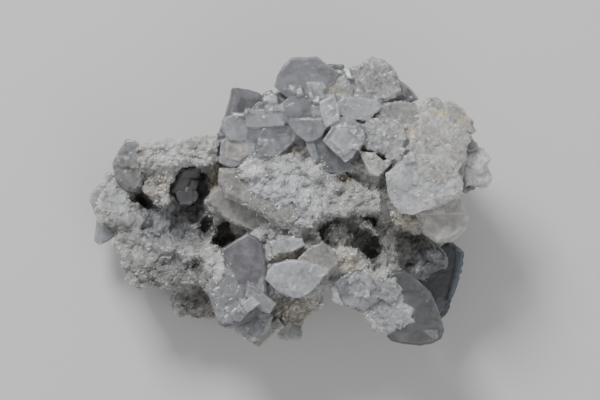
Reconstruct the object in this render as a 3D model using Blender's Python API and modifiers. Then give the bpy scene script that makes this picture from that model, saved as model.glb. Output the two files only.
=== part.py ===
"""Barite with calcite: a cabinet specimen of tabular barite crystals on a drusy calcite mass.

The specimen lies on its flat broken back, with its display face up. +Z is up, +X runs
along its length and +Y across it. The origin is at the middle of the base.
Plan positions and heights below are in millimetres, and become metres in the meshes.
"""

from collections import namedtuple

import bmesh
import bpy
from mathutils import Matrix, Vector

MM = 0.001

# A tabular crystal: its outline in plan, the height of its top face at the outline's middle,
# the rise of that face along X and Y, its thickness, and the width and drop of the bevel that
# runs round both of its faces.
Plate = namedtuple("Plate", "outline height lean thickness rim drop")
# A rounded block of calcite: its outline in plan, and the heights of its underside and its top.
Mass = namedtuple("Mass", "outline low high")
# A round lump or hollow: its middle and its three half-widths.
Ball = namedtuple("Ball", "middle radii")

SOCKET_GAP = 0.35
CALCITE_VOXEL = 1.1
CALCITE_TRIANGLES = 3430
# The masses narrow to this share of their outline at their undersides, where they reach into the rock.
UNDERSIDE_SHARE = 0.88
# The broken back is sawn off twice: roughly before the mesh is thinned, then exactly at the base.
ROUGH_CUT, BASE_CUT = -0.4, 0.0
FLOOR_SPAN, FLOOR_DEPTH = 200.0, 20.0
KNOB_SPACING, KNOB_HEIGHT = 7.0, 2.6
GRAIN_SPACING, GRAIN_HEIGHT = 3.0, 0.9
# The share of a knob's height that stands out from the mass, the rest being sunk between knobs.
KNOB_SUNK = 0.4
BALL_SUBDIVISIONS = 3
SOFTENING, LIGHT_SOFTENING = 6, 3
# A bevel draws no face in by more than this share of its reach.
MOST_DRAWN_IN = 0.85

BARITE_TOP = {
    "fan": Plate(
        [(-4.8, 34.5), (-2.4, 32), (1.2, 30), (9, 29.6), (15.9, 32), (13.6, 38), (9.9, 40.6),
         (7.2, 42.5), (0.3, 42.3), (-2.2, 40.2), (-3.8, 37.6)],
        44, (-0.05, 0.12), 6, 1.1, 1.1),
    "frosted": Plate(
        [(16.4, 38.6), (20.7, 40.8), (23.7, 43.3), (26.7, 41.7), (29.4, 40.4), (30.8, 37.6),
         (31.5, 34.4), (29.4, 29.6), (24, 27.6), (17, 29), (14, 34)],
        42.5, (0.04, -0.1), 8, 1.6, 1.4),
    "side_chip": Plate([(29.6, 30.6), (30.6, 35), (32.4, 36.5), (34.2, 35.8), (35.2, 33), (33.4, 30)],
                       37.5, (0.15, 0), 7, 0.9, 0.8),
    "side_chip_low": Plate([(31.5, 29.6), (33.6, 32.6), (36, 32.2), (37.4, 30.8), (36.4, 28.4),
                            (32.5, 27.6)],
                           33.5, (0.1, 0.1), 6, 0.7, 0.6),
    "back_grey": Plate([(23.6, 26), (28, 30.4), (33.9, 30.6), (37.4, 29.2), (37.2, 23), (30, 21),
                        (24.5, 22.5)],
                       38, (0, 0.1), 8, 0.9, 0.8),
    "white_flat": Plate([(12.3, 28), (13.8, 32.2), (20.4, 33), (28.2, 30.8), (27.2, 26), (22.5, 23.2),
                         (16, 22.8)],
                        45, (0, -0.08), 6, 0.9, 0.7),
    "small_bright": Plate([(8, 30.8), (8.8, 27), (10.2, 22.9), (14.2, 25.2), (14.8, 29.6), (11.4, 31.2)],
                          47, (0.08, -0.15), 6, 0.5, 0.5),
    "central": Plate(
        [(-2.7, 29.4), (-0.6, 31), (8.6, 31), (10.8, 25), (10.2, 21.3), (7.8, 19.5), (4.8, 18.1),
         (3.3, 18.1), (-1.4, 22), (-2.8, 25.2)],
        43.2, (0.04, 0.1), 7, 0.6, 0.5),
    "square": Plate([(6, 27.7), (8.7, 27.8), (8.8, 25.3), (6.1, 25.2)], 44.4, (0.04, 0.1), 3, 0.3, 0.3),
    "bar_left": Plate([(-13.7, 27.4), (-7.4, 27.9), (-7.3, 22.5), (-13.5, 22.7)], 41.5, (0, -0.05), 7,
                      0.4, 0.4),
    "bar_right": Plate([(-8, 28), (-1.5, 28.4), (-1.6, 22.8), (-8, 22.4)], 42.4, (0, -0.05), 7, 0.5, 0.4),
    "lower_fan": Plate(
        [(-9.2, 21.5), (-4.5, 22.8), (-1.5, 22.9), (1.6, 19.9), (-0.2, 17.3), (-2.7, 14.7),
         (-6, 12.7), (-9.6, 12), (-10.4, 17)],
        39.6, (0, 0.15), 7, 0.5, 0.4),
    "step_wide": Plate(
        [(-20.7, 18.6), (-15.6, 20), (-10.2, 19), (-6.4, 18), (-6.3, 13), (-14, 12), (-18, 10.4),
         (-21.3, 12)],
        37.5, (0, 0.04), 8, 0.6, 0.5),
    "step_square": Plate([(-12.9, 18.3), (-8.4, 18.5), (-8.6, 13.5), (-12.9, 13.3)], 39, (0, 0.04), 5,
                         0.4, 0.4),
    "left_pale": Plate(
        [(-19.8, 24.4), (-17.7, 25.6), (-15.3, 25), (-13.7, 23.1), (-14.2, 19), (-17.1, 18.1),
         (-19.7, 19.2),
         (-20.7, 22.2)],
        41, (-0.1, -0.05), 8, 0.8, 0.7),
    "window": Plate(
        [(-17.4, 33.7), (-14.1, 33.8), (-9, 32.7), (-4.6, 30), (-5.2, 24.5), (-13.8, 20.8), (-19.5, 19.9),
         (-22.1, 19.4), (-21.1, 22.8), (-19.3, 27.8)],
        37.2, (-0.05, 0), 6, 1.8, 1.4),
    "clear_block": Plate([(-9.2, 30.2), (-9.1, 32.9), (-6.6, 33.8), (-5, 32.7), (-4.7, 29.9)], 41,
                         (0, 0.1), 6, 0.4, 0.4),
    "clear_row": Plate([(-8.4, 29.7), (-1.9, 29.8), (-2, 27.3), (-8, 27.1)], 43.6, (0, 0), 4, 0.6, 0.6),
    "back_chip": Plate([(-5, 31.2), (-2.1, 32.6), (-0.1, 31.2), (-0.6, 28.8), (-4.8, 28.8)], 36, (0, 0),
                       6, 0.4, 0.4),
    "bevelled": Plate(
        [(13.3, 25.3), (9.1, 18.3), (15.9, 11.9), (18.9, 15), (21.6, 18.8), (20.2, 24.2), (17, 25.9)],
        48.5, (0.05, -0.12), 7, 1.7, 1.5),
    "narrow_blade": Plate([(3.9, 18.6), (5.9, 19), (7.8, 13.3), (6.5, 12.1), (4.8, 15.4)], 41, (0.3, 0),
                          6, 0.3, 0.3),
    "wedge": Plate([(6, 18.9), (10.2, 18.8), (16, 12.6), (18.6, 11), (14.6, 8.5), (9.9, 9.6), (7.2, 13)],
                   39.6, (0, 0.12), 7, 0.5, 0.4),
    "lower_square": Plate([(21.8, 13.4), (26.2, 7.3), (32.1, 12.2), (31.2, 16), (26, 17.8), (22.4, 17.2)],
                          45.3, (0, -0.05), 6, 0.5, 0.4),
    "upper_square": Plate([(21.4, 20.8), (25, 24.8), (31.6, 25.2), (33.2, 19), (31.6, 14.6), (27, 15),
                           (22.8, 17)],
                          45.8, (0.02, 0.02), 7, 0.8, 0.6),
}
BARITE_RIGHT = {
    "cream": Plate(
        [(37.6, 28.4), (39.4, 30.2), (41.7, 30.9), (43.6, 30.6), (47.1, 29.4), (50.5, 27.4), (51.6, 25.2),
         (53.4, 24.4), (54, 21.6), (52.6, 19.6), (52, 16.2), (49.2, 10.8), (44, 8.8), (37, 9.4), (34, 12),
         (34.2, 18.6), (35.8, 23)],
        45, (0.02, -0.02), 9, 2.1, 1.8),
    "blue_white": Plate(
        [(29.4, 9.6), (33.2, 12.4), (36.2, 14), (44.4, 11.6), (50, 9.9), (51, 4.2), (46, 1.3),
         (38.5, -2.3),
         (34, -3.7), (30.8, -1.4), (28.5, 2.8), (27.6, 6)],
        47.4, (0, 0.06), 8, 1.8, 2.0),
}
BARITE_WEDGE_RIGHT = {
    "roof": Plate(
        [(38.2, -4), (44, -1), (49.9, 1.7), (51.4, -3.2), (52.4, -4.8), (51.5, -8), (49.6, -9.8),
         (47.4, -11.3),
         (43.5, -11.7), (39.6, -9), (36.8, -6.2)],
        38, (0, 0.04), 9, 3.2, 3.0),
}
BARITE_SMOKY = {
    "sheet": Plate(
        [(43, -12.5), (47.4, -12.5), (50.4, -14.5), (51.8, -16), (50.9, -21), (49.6, -25), (48.3, -29.4),
         (47.2, -33), (44.2, -36.3), (41, -31), (37.6, -24), (37, -16)],
        19, (-0.05, 0.05), 5, 2.2, 1.2),
}
BARITE_LOWER_RIGHT = {
    "blade": Plate(
        [(30.5, -21.2), (33.9, -20.2), (36.7, -21.8), (39.9, -25), (41.7, -27.6), (43.2, -31.8),
         (44.7, -36),
         (45.3, -38.4), (44.5, -40.8), (42, -42.1), (38.4, -42.7), (33.9, -42.2), (30.1, -41.4),
         (28.3, -39.4),
         (25.6, -38.3), (24, -33), (25, -26)],
        33.5, (-0.02, 0.08), 8, 2.6, 2.4),
    "frosted_patch": Plate(
        [(24.3, -25.8), (31.8, -25.6), (33.3, -30.3), (36, -33.6), (35.8, -35.6), (33, -36.9),
         (28.8, -39.3),
         (25, -38.3), (22.9, -34.8), (23.2, -30.5)],
        37, (0, 0.05), 7, 1.0, 0.9),
    "upper_block": Plate([(25.4, -22.8), (30.4, -23.9), (32.4, -26.4), (31.5, -29.1), (28.8, -29.9),
                          (26, -28.5),
                          (25, -25.6)], 40, (0, -0.05), 6, 0.8, 0.7),
    "arm_plate": Plate([(13.2, -24), (18, -21), (21, -22.2), (25.8, -24.2), (25.4, -30), (21.4, -32.2),
                        (15.8, -30)], 37.5, (0, 0.08), 7, 0.9, 0.8),
}
BARITE_LOWER_CENTRE = {
    "lens": Plate(
        [(-7.3, -23.4), (-6.7, -20.8), (-4.8, -18.9), (0, -17.8), (4.5, -18.4), (11, -20.3), (8.4, -23.1),
         (6.6, -25.4), (4.5, -27.1), (2.4, -28.2), (0.3, -28.2), (-3.7, -26.5)],
        43, (0, 0.05), 7, 2.2, 2.0),
    "clear_plate": Plate([(2, -17.4), (5.4, -14.1), (9, -12.6), (12.2, -15.4), (13.2, -18.3), (9.9, -21),
                          (4.5, -21)], 41.6, (0, 0.1), 7, 0.6, 0.5),
}
BARITE_SMALL_SHELF = {
    "shelf": Plate([(-6.3, -11.8), (2.4, -11.1), (3.5, -13), (-0.6, -14.7), (-4.9, -15.6)], 42.5,
                   (0, -0.1), 5, 0.5, 0.4),
}
BARITE_LOWER_LEFT = {
    "grey_plate": Plate(
        [(-13.6, -9.6), (-17, -11.9), (-21, -14.4), (-23, -20), (-25, -26.5), (-23.6, -31), (-21.8, -36),
         (-20, -37), (-16.5, -36.4), (-12, -33.5), (-7.8, -28.5), (-8, -22), (-8.3, -17.4), (-9.2, -13.2),
         (-10.8, -11)],
        38.5, (0.08, -0.08), 8, 2.0, 1.8),
    "bar": Plate([(-12.8, -24.8), (-10.8, -25.7), (-5.2, -30.3), (-6.9, -33), (-9, -32.4),
                  (-13.5, -28.2)],
                 41.6, (0, 0), 6, 0.5, 0.5),
    "block_upper": Plate([(-15, -30.3), (-12, -28.5), (-9.9, -30.3), (-13.2, -32.8)], 44, (0, 0), 6, 0.4,
                         0.4),
    "block_lower": Plate([(-17.8, -33.5), (-14.7, -30.6), (-12.2, -31.8), (-15.6, -35.4), (-17.1, -35.1)],
                         42.8, (0, 0), 6, 0.4, 0.4),
    "side_plate": Plate([(-9.4, -15.4), (-6.6, -16.2), (-4.2, -18.3), (-6.6, -20.5), (-9.4, -20.8)],
                        35, (0, 0), 5, 0.4, 0.4),
}
BARITE_BOTTOM = {
    "disc": Plate([(-14.3, -35.4), (-10.2, -33.1), (-6.3, -34.7), (-7.2, -38.2), (-12, -41.7),
                   (-15.9, -39.3),
                   (-16.5, -36.9)], 27, (0, 0.1), 6, 0.7, 0.6),
    "edge_blade": Plate([(-12.3, -41.1), (-4.6, -35.4), (-2.7, -37.8), (-6, -40.1), (-9.6, -43.3),
                         (-11.1, -42.7)],
                        28.6, (0, 0.05), 6, 0.5, 0.5),
    "end_block": Plate([(-5, -36.5), (2.4, -35.6), (2.4, -40.7), (-0.6, -41.1), (-3.2, -40.9)], 23.5,
                       (0, 0), 7, 0.6, 0.6),
}
BARITE_VUG = {
    "dark_plate": Plate([(-36.2, 3.2), (-32.7, 9.2), (-27.4, 10.4), (-28.4, 7.2), (-30.4, 4),
                         (-33.6, 2.6)],
                        21, (-0.15, 0.15), 5, 0.5, 0.5),
    "front_chip": Plate([(-34.4, 2.4), (-31.2, 4.4), (-29, 3.2), (-28.4, 0.9), (-31.2, -0.5),
                         (-33.8, -0.2)],
                        21.5, (0, -0.1), 6, 0.6, 0.5),
    "back_plate": Plate([(-30, 2.5), (-28, 8.4), (-25, 5.9), (-25.6, 1), (-28.6, -1.1)], 18, (0.2, 0), 5,
                        0.4, 0.4),
}
BARITE_CENTRE = {
    "coated": Plate(
        [(-21.2, 9.8), (-4, 10.2), (4, 7), (6, -1), (-0.2, -6.6), (-5, -6.2), (-9, -3.4), (-13, -1),
         (-19.4, 1.6), (-21.4, 6)],
        41.6, (0, 0), 7, 3.0, 2.4),
}
BARITE_CENTRE_LOW = {
    "ledge": Plate([(-25.6, 0.2), (-23.2, 3.5), (-20, 4.8), (-9.4, -2.6), (-6.8, -7.6), (-12.6, -8.6),
                    (-19.2, -5.2)], 33.2, (0.02, 0.05), 6, 1.2, 1.0),
}
BARITE_LEFT_TIPS = {
    "barite_tip_upper_left": Plate([(-56.3, 8.6), (-54, 8.9), (-51.5, 7), (-52.5, 3.6), (-56.3, 4.8)],
                                   16, (0.05, 0), 6, 0.6, 0.5),
    "barite_tip_left": Plate([(-61, 0.6), (-60.4, 2.4), (-58.5, 4.7), (-56.6, 5.6), (-53, 3),
                              (-54.5, -1.2),
                              (-59.3, -2.4)], 20, (0.05, 0), 7, 0.9, 0.8),
    "barite_tip_lower_left": Plate([(-59.6, -11.4), (-58.9, -5.4), (-54.5, -4.6), (-52, -8.4),
                                    (-56.2, -11.7),
                                    (-58.3, -12.6)], 16, (0.05, 0.05), 6, 0.8, 0.7),
    "barite_plate_upper_left": Plate([(-51.7, 15.3), (-49.6, 18.6), (-46.6, 17.7), (-44.2, 14.1),
                                      (-46.4, 10.6),
                                      (-51.6, 11)], 29.5, (0.05, -0.05), 7, 0.7, 0.6),
    "barite_lens_left": Plate([(-57.1, -2.3), (-48.6, -2.5), (-44.6, -5.2), (-46.4, -8.6), (-51, -8.5),
                               (-56.6, -6)],
                              30.5, (0, 0.05), 5, 1.3, 1.0),
}
CALCITE_RIGHT = {
    "upper_rhomb": Plate([(50.8, 13.6), (53.6, 15.3), (56.5, 15.4), (58.6, 12.4), (56.6, 8.8), (52, 8.6)],
                         40.5, (0.1, 0.1), 9, 1.7, 1.5),
    "tip_rhomb": Plate([(55.4, 10.4), (59.2, 10.6), (61, 7.2), (59.4, 4.9), (56, 5.6)], 37.5, (0, 0), 8,
                       1.4, 1.2),
    "lower_rhomb": Plate([(51.4, 10), (56.2, 9.6), (57, 5.8), (52.6, 5.6)], 38.6, (0, -0.1), 8, 1.1, 1.0),
}
# Each joined group is one solid, in the order in which it keeps clear of those before it.
BARITE_GROUPS = {
    "barite_cluster_top": BARITE_TOP,
    "barite_cluster_right": BARITE_RIGHT,
    "barite_wedge_right": BARITE_WEDGE_RIGHT,
    "barite_smoky_sheet": BARITE_SMOKY,
    "barite_cluster_lower_right": BARITE_LOWER_RIGHT,
    "barite_lens_lower_centre": BARITE_LOWER_CENTRE,
    "barite_small_shelf": BARITE_SMALL_SHELF,
    "barite_cluster_lower_left": BARITE_LOWER_LEFT,
    "barite_cluster_bottom": BARITE_BOTTOM,
    "barite_vug_crystals": BARITE_VUG,
    "barite_plate_centre": BARITE_CENTRE,
    "barite_ledge_centre": BARITE_CENTRE_LOW,
    **{name: {"plate": plate} for name, plate in BARITE_LEFT_TIPS.items()},
    "calcite_blocks_right": CALCITE_RIGHT,
}

CALCITE_MASSES = {
    "body": Mass(
        [(-21, 15), (-19, 19), (-8, 25), (0, 28), (14, 32), (28, 32), (38, 27), (50, 23), (52, 12),
         (50, 5),
         (40, 0), (32, -4.6), (22, -4.4), (12, -6), (6, -10), (-2, -11), (-3, -8), (-9, -0.5), (-18, 5)],
        -4, 36),
    "ledge_step": Mass([(-25, 1), (-20, 5), (-8, -1), (-5, -9), (-12, -9.5), (-19, -6), (-24, -3)], -4,
                       31),
    "plate_foot": Mass([(-22, -13), (-12, -11), (-8.6, -20), (-9.5, -30), (-17, -34), (-22, -31),
                        (-23.4, -20)],
                       -4, 31.5),
    "right_pedestal": Mass([(29.4, 8), (34, 12), (44, 11), (49.4, 8), (49.6, 3), (44, 0), (36, -3.6),
                            (31.4, -2.4),
                            (29, 3)], 18, 41),
    "wedge_foot": Mass([(39.6, 1), (50, 2), (50.4, -5.6), (45, -9), (40, -7)], -4, 31),
    "root": Mass([(-42, 8), (-22, 15), (-2, 22), (26, 27), (42, 21), (46, 4), (40, -14), (28, -25),
                  (12, -26),
                  (-2, -32), (-17, -31), (-28, -22), (-42, -14)], -4, 14),
    "centre_rise": Mass([(-18.6, 9.4), (-8, 11), (2, 12), (10, 10), (19, 8), (28, 2), (28, -3), (12, -5),
                         (3, -8.6),
                         (-0.6, -4.8), (-6.6, -1.8), (-12.4, 3.4), (-17.8, 8)], 30, 43.4),
    "left_wing": Mass(
        [(-52, 12), (-50, 16.4), (-44, 17.6), (-36, 18.4), (-27, 19), (-20, 18), (-19, 4), (-22, -6),
         (-24, -14),
         (-24, -25.4), (-34, -26), (-42, -25), (-48, -21.4), (-51.5, -16), (-54, -10), (-57.6, -7),
         (-58.6, -1),
         (-56, 3), (-54, 8)],
        5, 24),
    "left_root": Mass([(-49, 12), (-22, 14), (-8, 8), (-6, -12), (-16, -22), (-24, -21), (-44, -17),
                       (-51, -4)],
                      -4, 13),
    "left_ridge": Mass([(-51, 12), (-50, 16.6), (-44, 18), (-34, 18.6), (-26, 19.6), (-19, 18.6),
                        (-19, 11),
                        (-30, 10.5), (-44, 9.5)], 12, 32),
    "left_bulge": Mass([(-58.6, -1), (-57, 4), (-53, 9), (-46, 9), (-43, 3), (-46, -4), (-52, -9),
                        (-57.6, -7)],
                       10, 29),
    "left_bridge": Mass([(-43, 10), (-36, 10), (-35, 2), (-37, -3), (-42, -3)], 12, 30),
    "left_skirt": Mass([(-54, -9), (-46, -7), (-38, -9), (-26, -15), (-21, -16), (-22, -20), (-24, -25.8),
                        (-34, -26.4), (-43, -25.4), (-49, -21.4)], 9, 30),
    "lower_left_lobe": Mass([(-36, -24), (-22, -22), (-12, -24), (-9, -34), (-16, -36.8), (-22, -36),
                             (-28, -35),
                             (-33, -34.4), (-36, -31.4), (-36.6, -29)], 4, 22),
    "lower_centre": Mass([(-12, -20), (-7, -11), (8, -10), (14, -17), (11, -25), (5, -29), (-4, -28),
                          (-12, -26)],
                         -4, 37),
    "lower_skirt": Mass([(-14, -26), (8, -26), (9.4, -30), (9, -32.6), (4, -34.8), (2, -38.2),
                         (-4, -38.8),
                         (-12, -39.4), (-16, -36.6)], 4, 26),
    "right_arm": Mass([(8, -13), (16, -13.2), (24, -17.6), (32, -21.6), (33.4, -30), (30, -36.4),
                       (25, -36.8),
                       (20, -32.6), (14, -30), (12, -27.2), (13, -22)], 11, 35),
    "right_arm_root": Mass([(9, -13), (30, -18), (30, -32), (22, -31), (13, -26)], -4, 13),
    "recess_floor": Mass([(6, -5), (46, 0), (46.4, -12), (44, -22), (32, -26), (20, -20), (8, -13)],
                         -4, 23.5),
    "recess_column": Mass([(26, -3), (31, -3), (33, -14), (31.6, -21), (27.2, -20), (26, -13)], 10, 32),
    "right_shoulder": Mass([(44, 12), (55.6, 12.6), (59, 8), (57, 5.5), (50, 1.6), (42, 0)], 13, 33),
}
CALCITE_KNOBS = {
    "big_knob": Ball((42.9, -16.4, 25.5), (3.4, 3.2, 3.4)),
    "right_knob": Ball((46, -18.4, 23.5), (3, 3, 3)),
    "low_knob": Ball((39.8, -20.4, 25), (3, 2.8, 3)),
    "inner_knob": Ball((39.6, -14.4, 24), (3, 3, 3.4)),
    "column_knob": Ball((29.6, -18, 30), (3.6, 4, 4)),
    "lip_knob": Ball((18, -15, 34), (4.5, 3, 4)),
    "white_boss": Ball((7.2, 9, 40), (3.4, 4.4, 4.4)),
    "ridge_lump_1": Ball((-46, 14.6, 28), (3.6, 3.6, 4.6)),
    "ridge_lump_2": Ball((-33, 15, 30), (5, 4.2, 4)),
    "ridge_lump_3": Ball((-23.6, 16.4, 30), (4.6, 4.4, 4.4)),
    "rim_lump_right": Ball((51, 21, 38), (3.6, 5, 5)),
    "tip_lump": Ball((-57, -2, 22), (3.4, 4.6, 5)),
    "foot_lump": Ball((7, -31, 20), (3.4, 3, 5)),
}
CALCITE_HOLLOWS = {
    "small_vug": Ball((-45.6, 0.2, 28), (3.6, 2.6, 10)),
    "main_vug": Ball((-30.6, 4, 25), (5.8, 6.4, 10)),
    "main_vug_mouth": Ball((-31, -4, 26), (5.4, 5.8, 8)),
    "inner_vug": Ball((-25.6, -7.8, 26), (2.6, 2.8, 10)),
    "triangle": Ball((-20.6, -12.2, 28), (3.8, 2.8, 12)),
    "skirt_pit": Ball((-36, -18, 31), (3.2, 2.9, 5)),
    "skirt_slot": Ball((-27.4, -19, 31), (3.6, 1.9, 6)),
    "recess_left": Ball((23.4, -11.6, 31), (3.4, 6, 10)),
    "recess_right": Ball((36.6, -10.6, 31), (5.4, 4.4, 10)),
    "recess_top": Ball((16, -7.6, 34), (6.4, 2.6, 10)),
    "recess_corner": Ball((9.6, -7.8, 36), (2.2, 3, 9)),
    "top_gap": Ball((20.6, 11.2, 40), (2.1, 1.8, 10)),
    "slit": Ball((17.2, 7, 41), (4, 1.1, 6)),
    "shadow_gap": Ball((3, 16, 40), (3.8, 2.8, 9)),
    "bottom_notch": Ball((10.9, -29.4, 16), (1.6, 5, 30)),
}


def clear_scene():
    """Removes the objects that are there when the script starts."""
    for obj in list(bpy.data.objects):
        bpy.data.objects.remove(obj, do_unlink=True)


def collection(name, shown=True):
    """A new collection in the scene, hidden from renders if it holds cutters."""
    made = bpy.data.collections.new(name)
    made.hide_render = not shown
    bpy.context.scene.collection.children.link(made)
    return made


def add_object(name, bm, home):
    """Puts a bmesh in a new object of that name, in that collection."""
    bmesh.ops.recalc_face_normals(bm, faces=bm.faces)
    mesh = bpy.data.meshes.new(name)
    bm.to_mesh(mesh)
    bm.free()
    obj = bpy.data.objects.new(name, mesh)
    home.objects.link(obj)
    return obj


def hide_cutter(obj):
    """Marks an object as a cutter, so that it is no piece of the specimen."""
    obj.hide_render = True
    obj.display_type = "WIRE"
    return obj


def middle_of(outline):
    """The mean of an outline's corners."""
    return (sum(x for x, _ in outline) / len(outline), sum(y for _, y in outline) / len(outline))


def least_reach(outline, middle):
    """The least distance from the middle to the line of any side of the outline."""
    centre = Vector(middle)
    reach = []
    for i, corner in enumerate(outline):
        start, end = Vector(outline[i - 1]), Vector(corner)
        along = (end - start).normalized()
        to_centre = centre - start
        reach.append(abs(along.x * to_centre.y - along.y * to_centre.x))
    return min(reach)


def raise_cap(bm, cap, plate, out):
    """Sweeps a cap outward by the plate's drop and draws it in by its rim, which leaves the bevel."""
    swept = bmesh.ops.extrude_face_region(bm, geom=[cap])
    face = next(f for f in swept["geom"] if isinstance(f, bmesh.types.BMFace))
    bmesh.ops.delete(bm, geom=[cap], context="FACES_ONLY")
    centre = face.calc_center_median()
    corners = [loop.vert.co.copy() for loop in face.loops]
    reach = []
    for i, corner in enumerate(corners):
        along = (corner - corners[i - 1]).normalized()
        to_centre = centre - corner
        reach.append((to_centre - along * to_centre.dot(along)).length)
    for i, loop in enumerate(face.loops):
        least = min(reach[i], reach[(i + 1) % len(reach)])
        drawn_in = min(plate.rim * MM / least, MOST_DRAWN_IN)
        loop.vert.co = corners[i].lerp(centre, drawn_in) + out * plate.drop * MM


def plate_mesh(plate, grow=0.0):
    """A tabular crystal: two parallel faces with a bevel round each, and a low girdle between."""
    mx, my = middle_of(plate.outline)
    scale = 1 + grow / least_reach(plate.outline, (mx, my))
    rise_x, rise_y = plate.lean
    normal = Vector((-rise_x, -rise_y, 1)).normalized()
    girdle = plate.thickness - 2 * plate.drop + 2 * grow
    girdle_top = plate.height - plate.drop + grow
    bm = bmesh.new()
    corners = []
    for x, y in plate.outline:
        x, y = mx + (x - mx) * scale, my + (y - my) * scale
        z = girdle_top + rise_x * (x - mx) + rise_y * (y - my)
        corners.append(bm.verts.new(Vector((x, y, z)) * MM))
    top = bmesh.ops.contextual_create(bm, geom=corners)["faces"][0]
    swept = bmesh.ops.extrude_face_region(bm, geom=[top], use_keep_orig=True)
    low_corners = [v for v in swept["geom"] if isinstance(v, bmesh.types.BMVert)]
    low = next(f for f in swept["geom"] if isinstance(f, bmesh.types.BMFace))
    bmesh.ops.translate(bm, verts=low_corners, vec=-normal * girdle * MM)
    raise_cap(bm, top, plate, normal)
    raise_cap(bm, low, plate, -normal)
    return bm


def mass_mesh(mass, bm):
    """Adds a block with a mass's outline at its top, narrower at its underside, to the bmesh."""
    corners = [bm.verts.new((x * MM, y * MM, mass.high * MM)) for x, y in mass.outline]
    face = bmesh.ops.contextual_create(bm, geom=corners)["faces"][0]
    swept = bmesh.ops.extrude_face_region(bm, geom=[face], use_keep_orig=True)
    lowered = [v for v in swept["geom"] if isinstance(v, bmesh.types.BMVert)]
    mx, my = middle_of(mass.outline)
    narrowing = Matrix.Diagonal((UNDERSIDE_SHARE, UNDERSIDE_SHARE, 1, 1))
    bmesh.ops.translate(bm, verts=lowered, vec=(0, 0, (mass.low - mass.high) * MM))
    middle = Matrix.Translation((-mx * MM, -my * MM, 0))
    bmesh.ops.transform(bm, verts=lowered, matrix=narrowing, space=middle)


def ball_matrix(ball):
    """The matrix that turns a unit sphere into the ball."""
    scale = Matrix.Diagonal((*(r * MM for r in ball.radii), 1))
    return Matrix.Translation(Vector(ball.middle) * MM) @ scale


def add_modifier(obj, kind, **settings):
    """Adds one modifier with its settings."""
    modifier = obj.modifiers.new(kind.lower(), kind)
    for name, value in settings.items():
        setattr(modifier, name, value)
    return modifier


def add_boolean(obj, operation, others):
    """Joins the objects of a collection to obj, or cuts them from it."""
    add_modifier(obj, "BOOLEAN", operation=operation, operand_type="COLLECTION", collection=others,
                 solver="EXACT")


def apply_modifiers(obj):
    """Replaces an object's mesh by what its modifiers make of it."""
    bpy.context.view_layer.update()
    graph = bpy.context.evaluated_depsgraph_get()
    made = bpy.data.meshes.new_from_object(obj.evaluated_get(graph))
    obj.modifiers.clear()
    obj.data = made


def keep_largest_piece(obj):
    """Deletes the crumbs that a cut has left beside the main piece."""
    bm = bmesh.new()
    bm.from_mesh(obj.data)
    left, pieces = set(bm.verts), []
    while left:
        piece, edge_of_search = set(), [left.pop()]
        while edge_of_search:
            vert = edge_of_search.pop()
            piece.add(vert)
            for edge in vert.link_edges:
                other = edge.other_vert(vert)
                if other in left:
                    left.remove(other)
                    edge_of_search.append(other)
        pieces.append(piece)
    largest = max(pieces, key=len)
    crumbs = [v for piece in pieces if piece is not largest for v in piece]
    bmesh.ops.delete(bm, geom=crumbs, context="VERTS")
    bm.to_mesh(obj.data)
    bm.free()


def stone_material(name, colour, roughness, transmission):
    """A plain mineral surface: its colour, how rough it is and how much light passes through."""
    material = bpy.data.materials.new(name)
    material.use_nodes = True
    shader = material.node_tree.nodes["Principled BSDF"]
    shader.inputs["Base Color"].default_value = (*colour, 1)
    shader.inputs["Roughness"].default_value = roughness
    shader.inputs["Metallic"].default_value = 0
    shader.inputs["Transmission Weight"].default_value = transmission
    return material


def build_crystals(shown, sockets):
    """Makes each group of crystals as one solid, and the socket that each plate sits in."""
    milky = stone_material("milky_barite", (0.72, 0.73, 0.74), 0.3, 0.3)
    smoky = stone_material("smoky_barite", (0.25, 0.29, 0.31), 0.25, 0.5)
    white = stone_material("white_calcite", (0.82, 0.82, 0.81), 0.45, 0.1)
    finish = {"barite_smoky_sheet": smoky, "barite_vug_crystals": smoky, "calcite_blocks_right": white}
    for group_name, plates in BARITE_GROUPS.items():
        joined = collection(group_name + "_others", shown=False)
        earlier = collection(group_name + "_clearance", shown=False)
        for cutter in sockets.objects:
            earlier.objects.link(cutter)
        first, *others = plates.items()
        obj = add_object(group_name, plate_mesh(first[1]), shown)
        for plate_name, plate in others:
            hide_cutter(add_object(f"{group_name}_{plate_name}", plate_mesh(plate), joined))
        for plate_name, plate in plates.items():
            hide_cutter(add_object(f"socket_{group_name}_{plate_name}", plate_mesh(plate, SOCKET_GAP),
                                   sockets))
        if others:
            add_boolean(obj, "UNION", joined)
        if len(earlier.objects):
            add_boolean(obj, "DIFFERENCE", earlier)
        apply_modifiers(obj)
        keep_largest_piece(obj)
        obj.data.materials.clear()
        obj.data.materials.append(finish.get(group_name, milky))


def floor_cutter(name, height, home):
    """A slab, larger than the specimen, that cuts off all that is below that height."""
    bm = bmesh.new()
    size = (FLOOR_SPAN * MM, FLOOR_SPAN * MM, FLOOR_DEPTH * MM, 1)
    bmesh.ops.create_cube(bm, size=1, matrix=Matrix.Diagonal(size))
    bmesh.ops.translate(bm, verts=bm.verts, vec=(0, 0, (height - FLOOR_DEPTH / 2) * MM))
    return hide_cutter(add_object(name, bm, home))


def bumpy(name, kind, spacing):
    """A procedural texture whose cells or clouds are that far apart."""
    texture = bpy.data.textures.new(name, kind)
    texture.noise_scale = spacing * MM
    return texture


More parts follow.
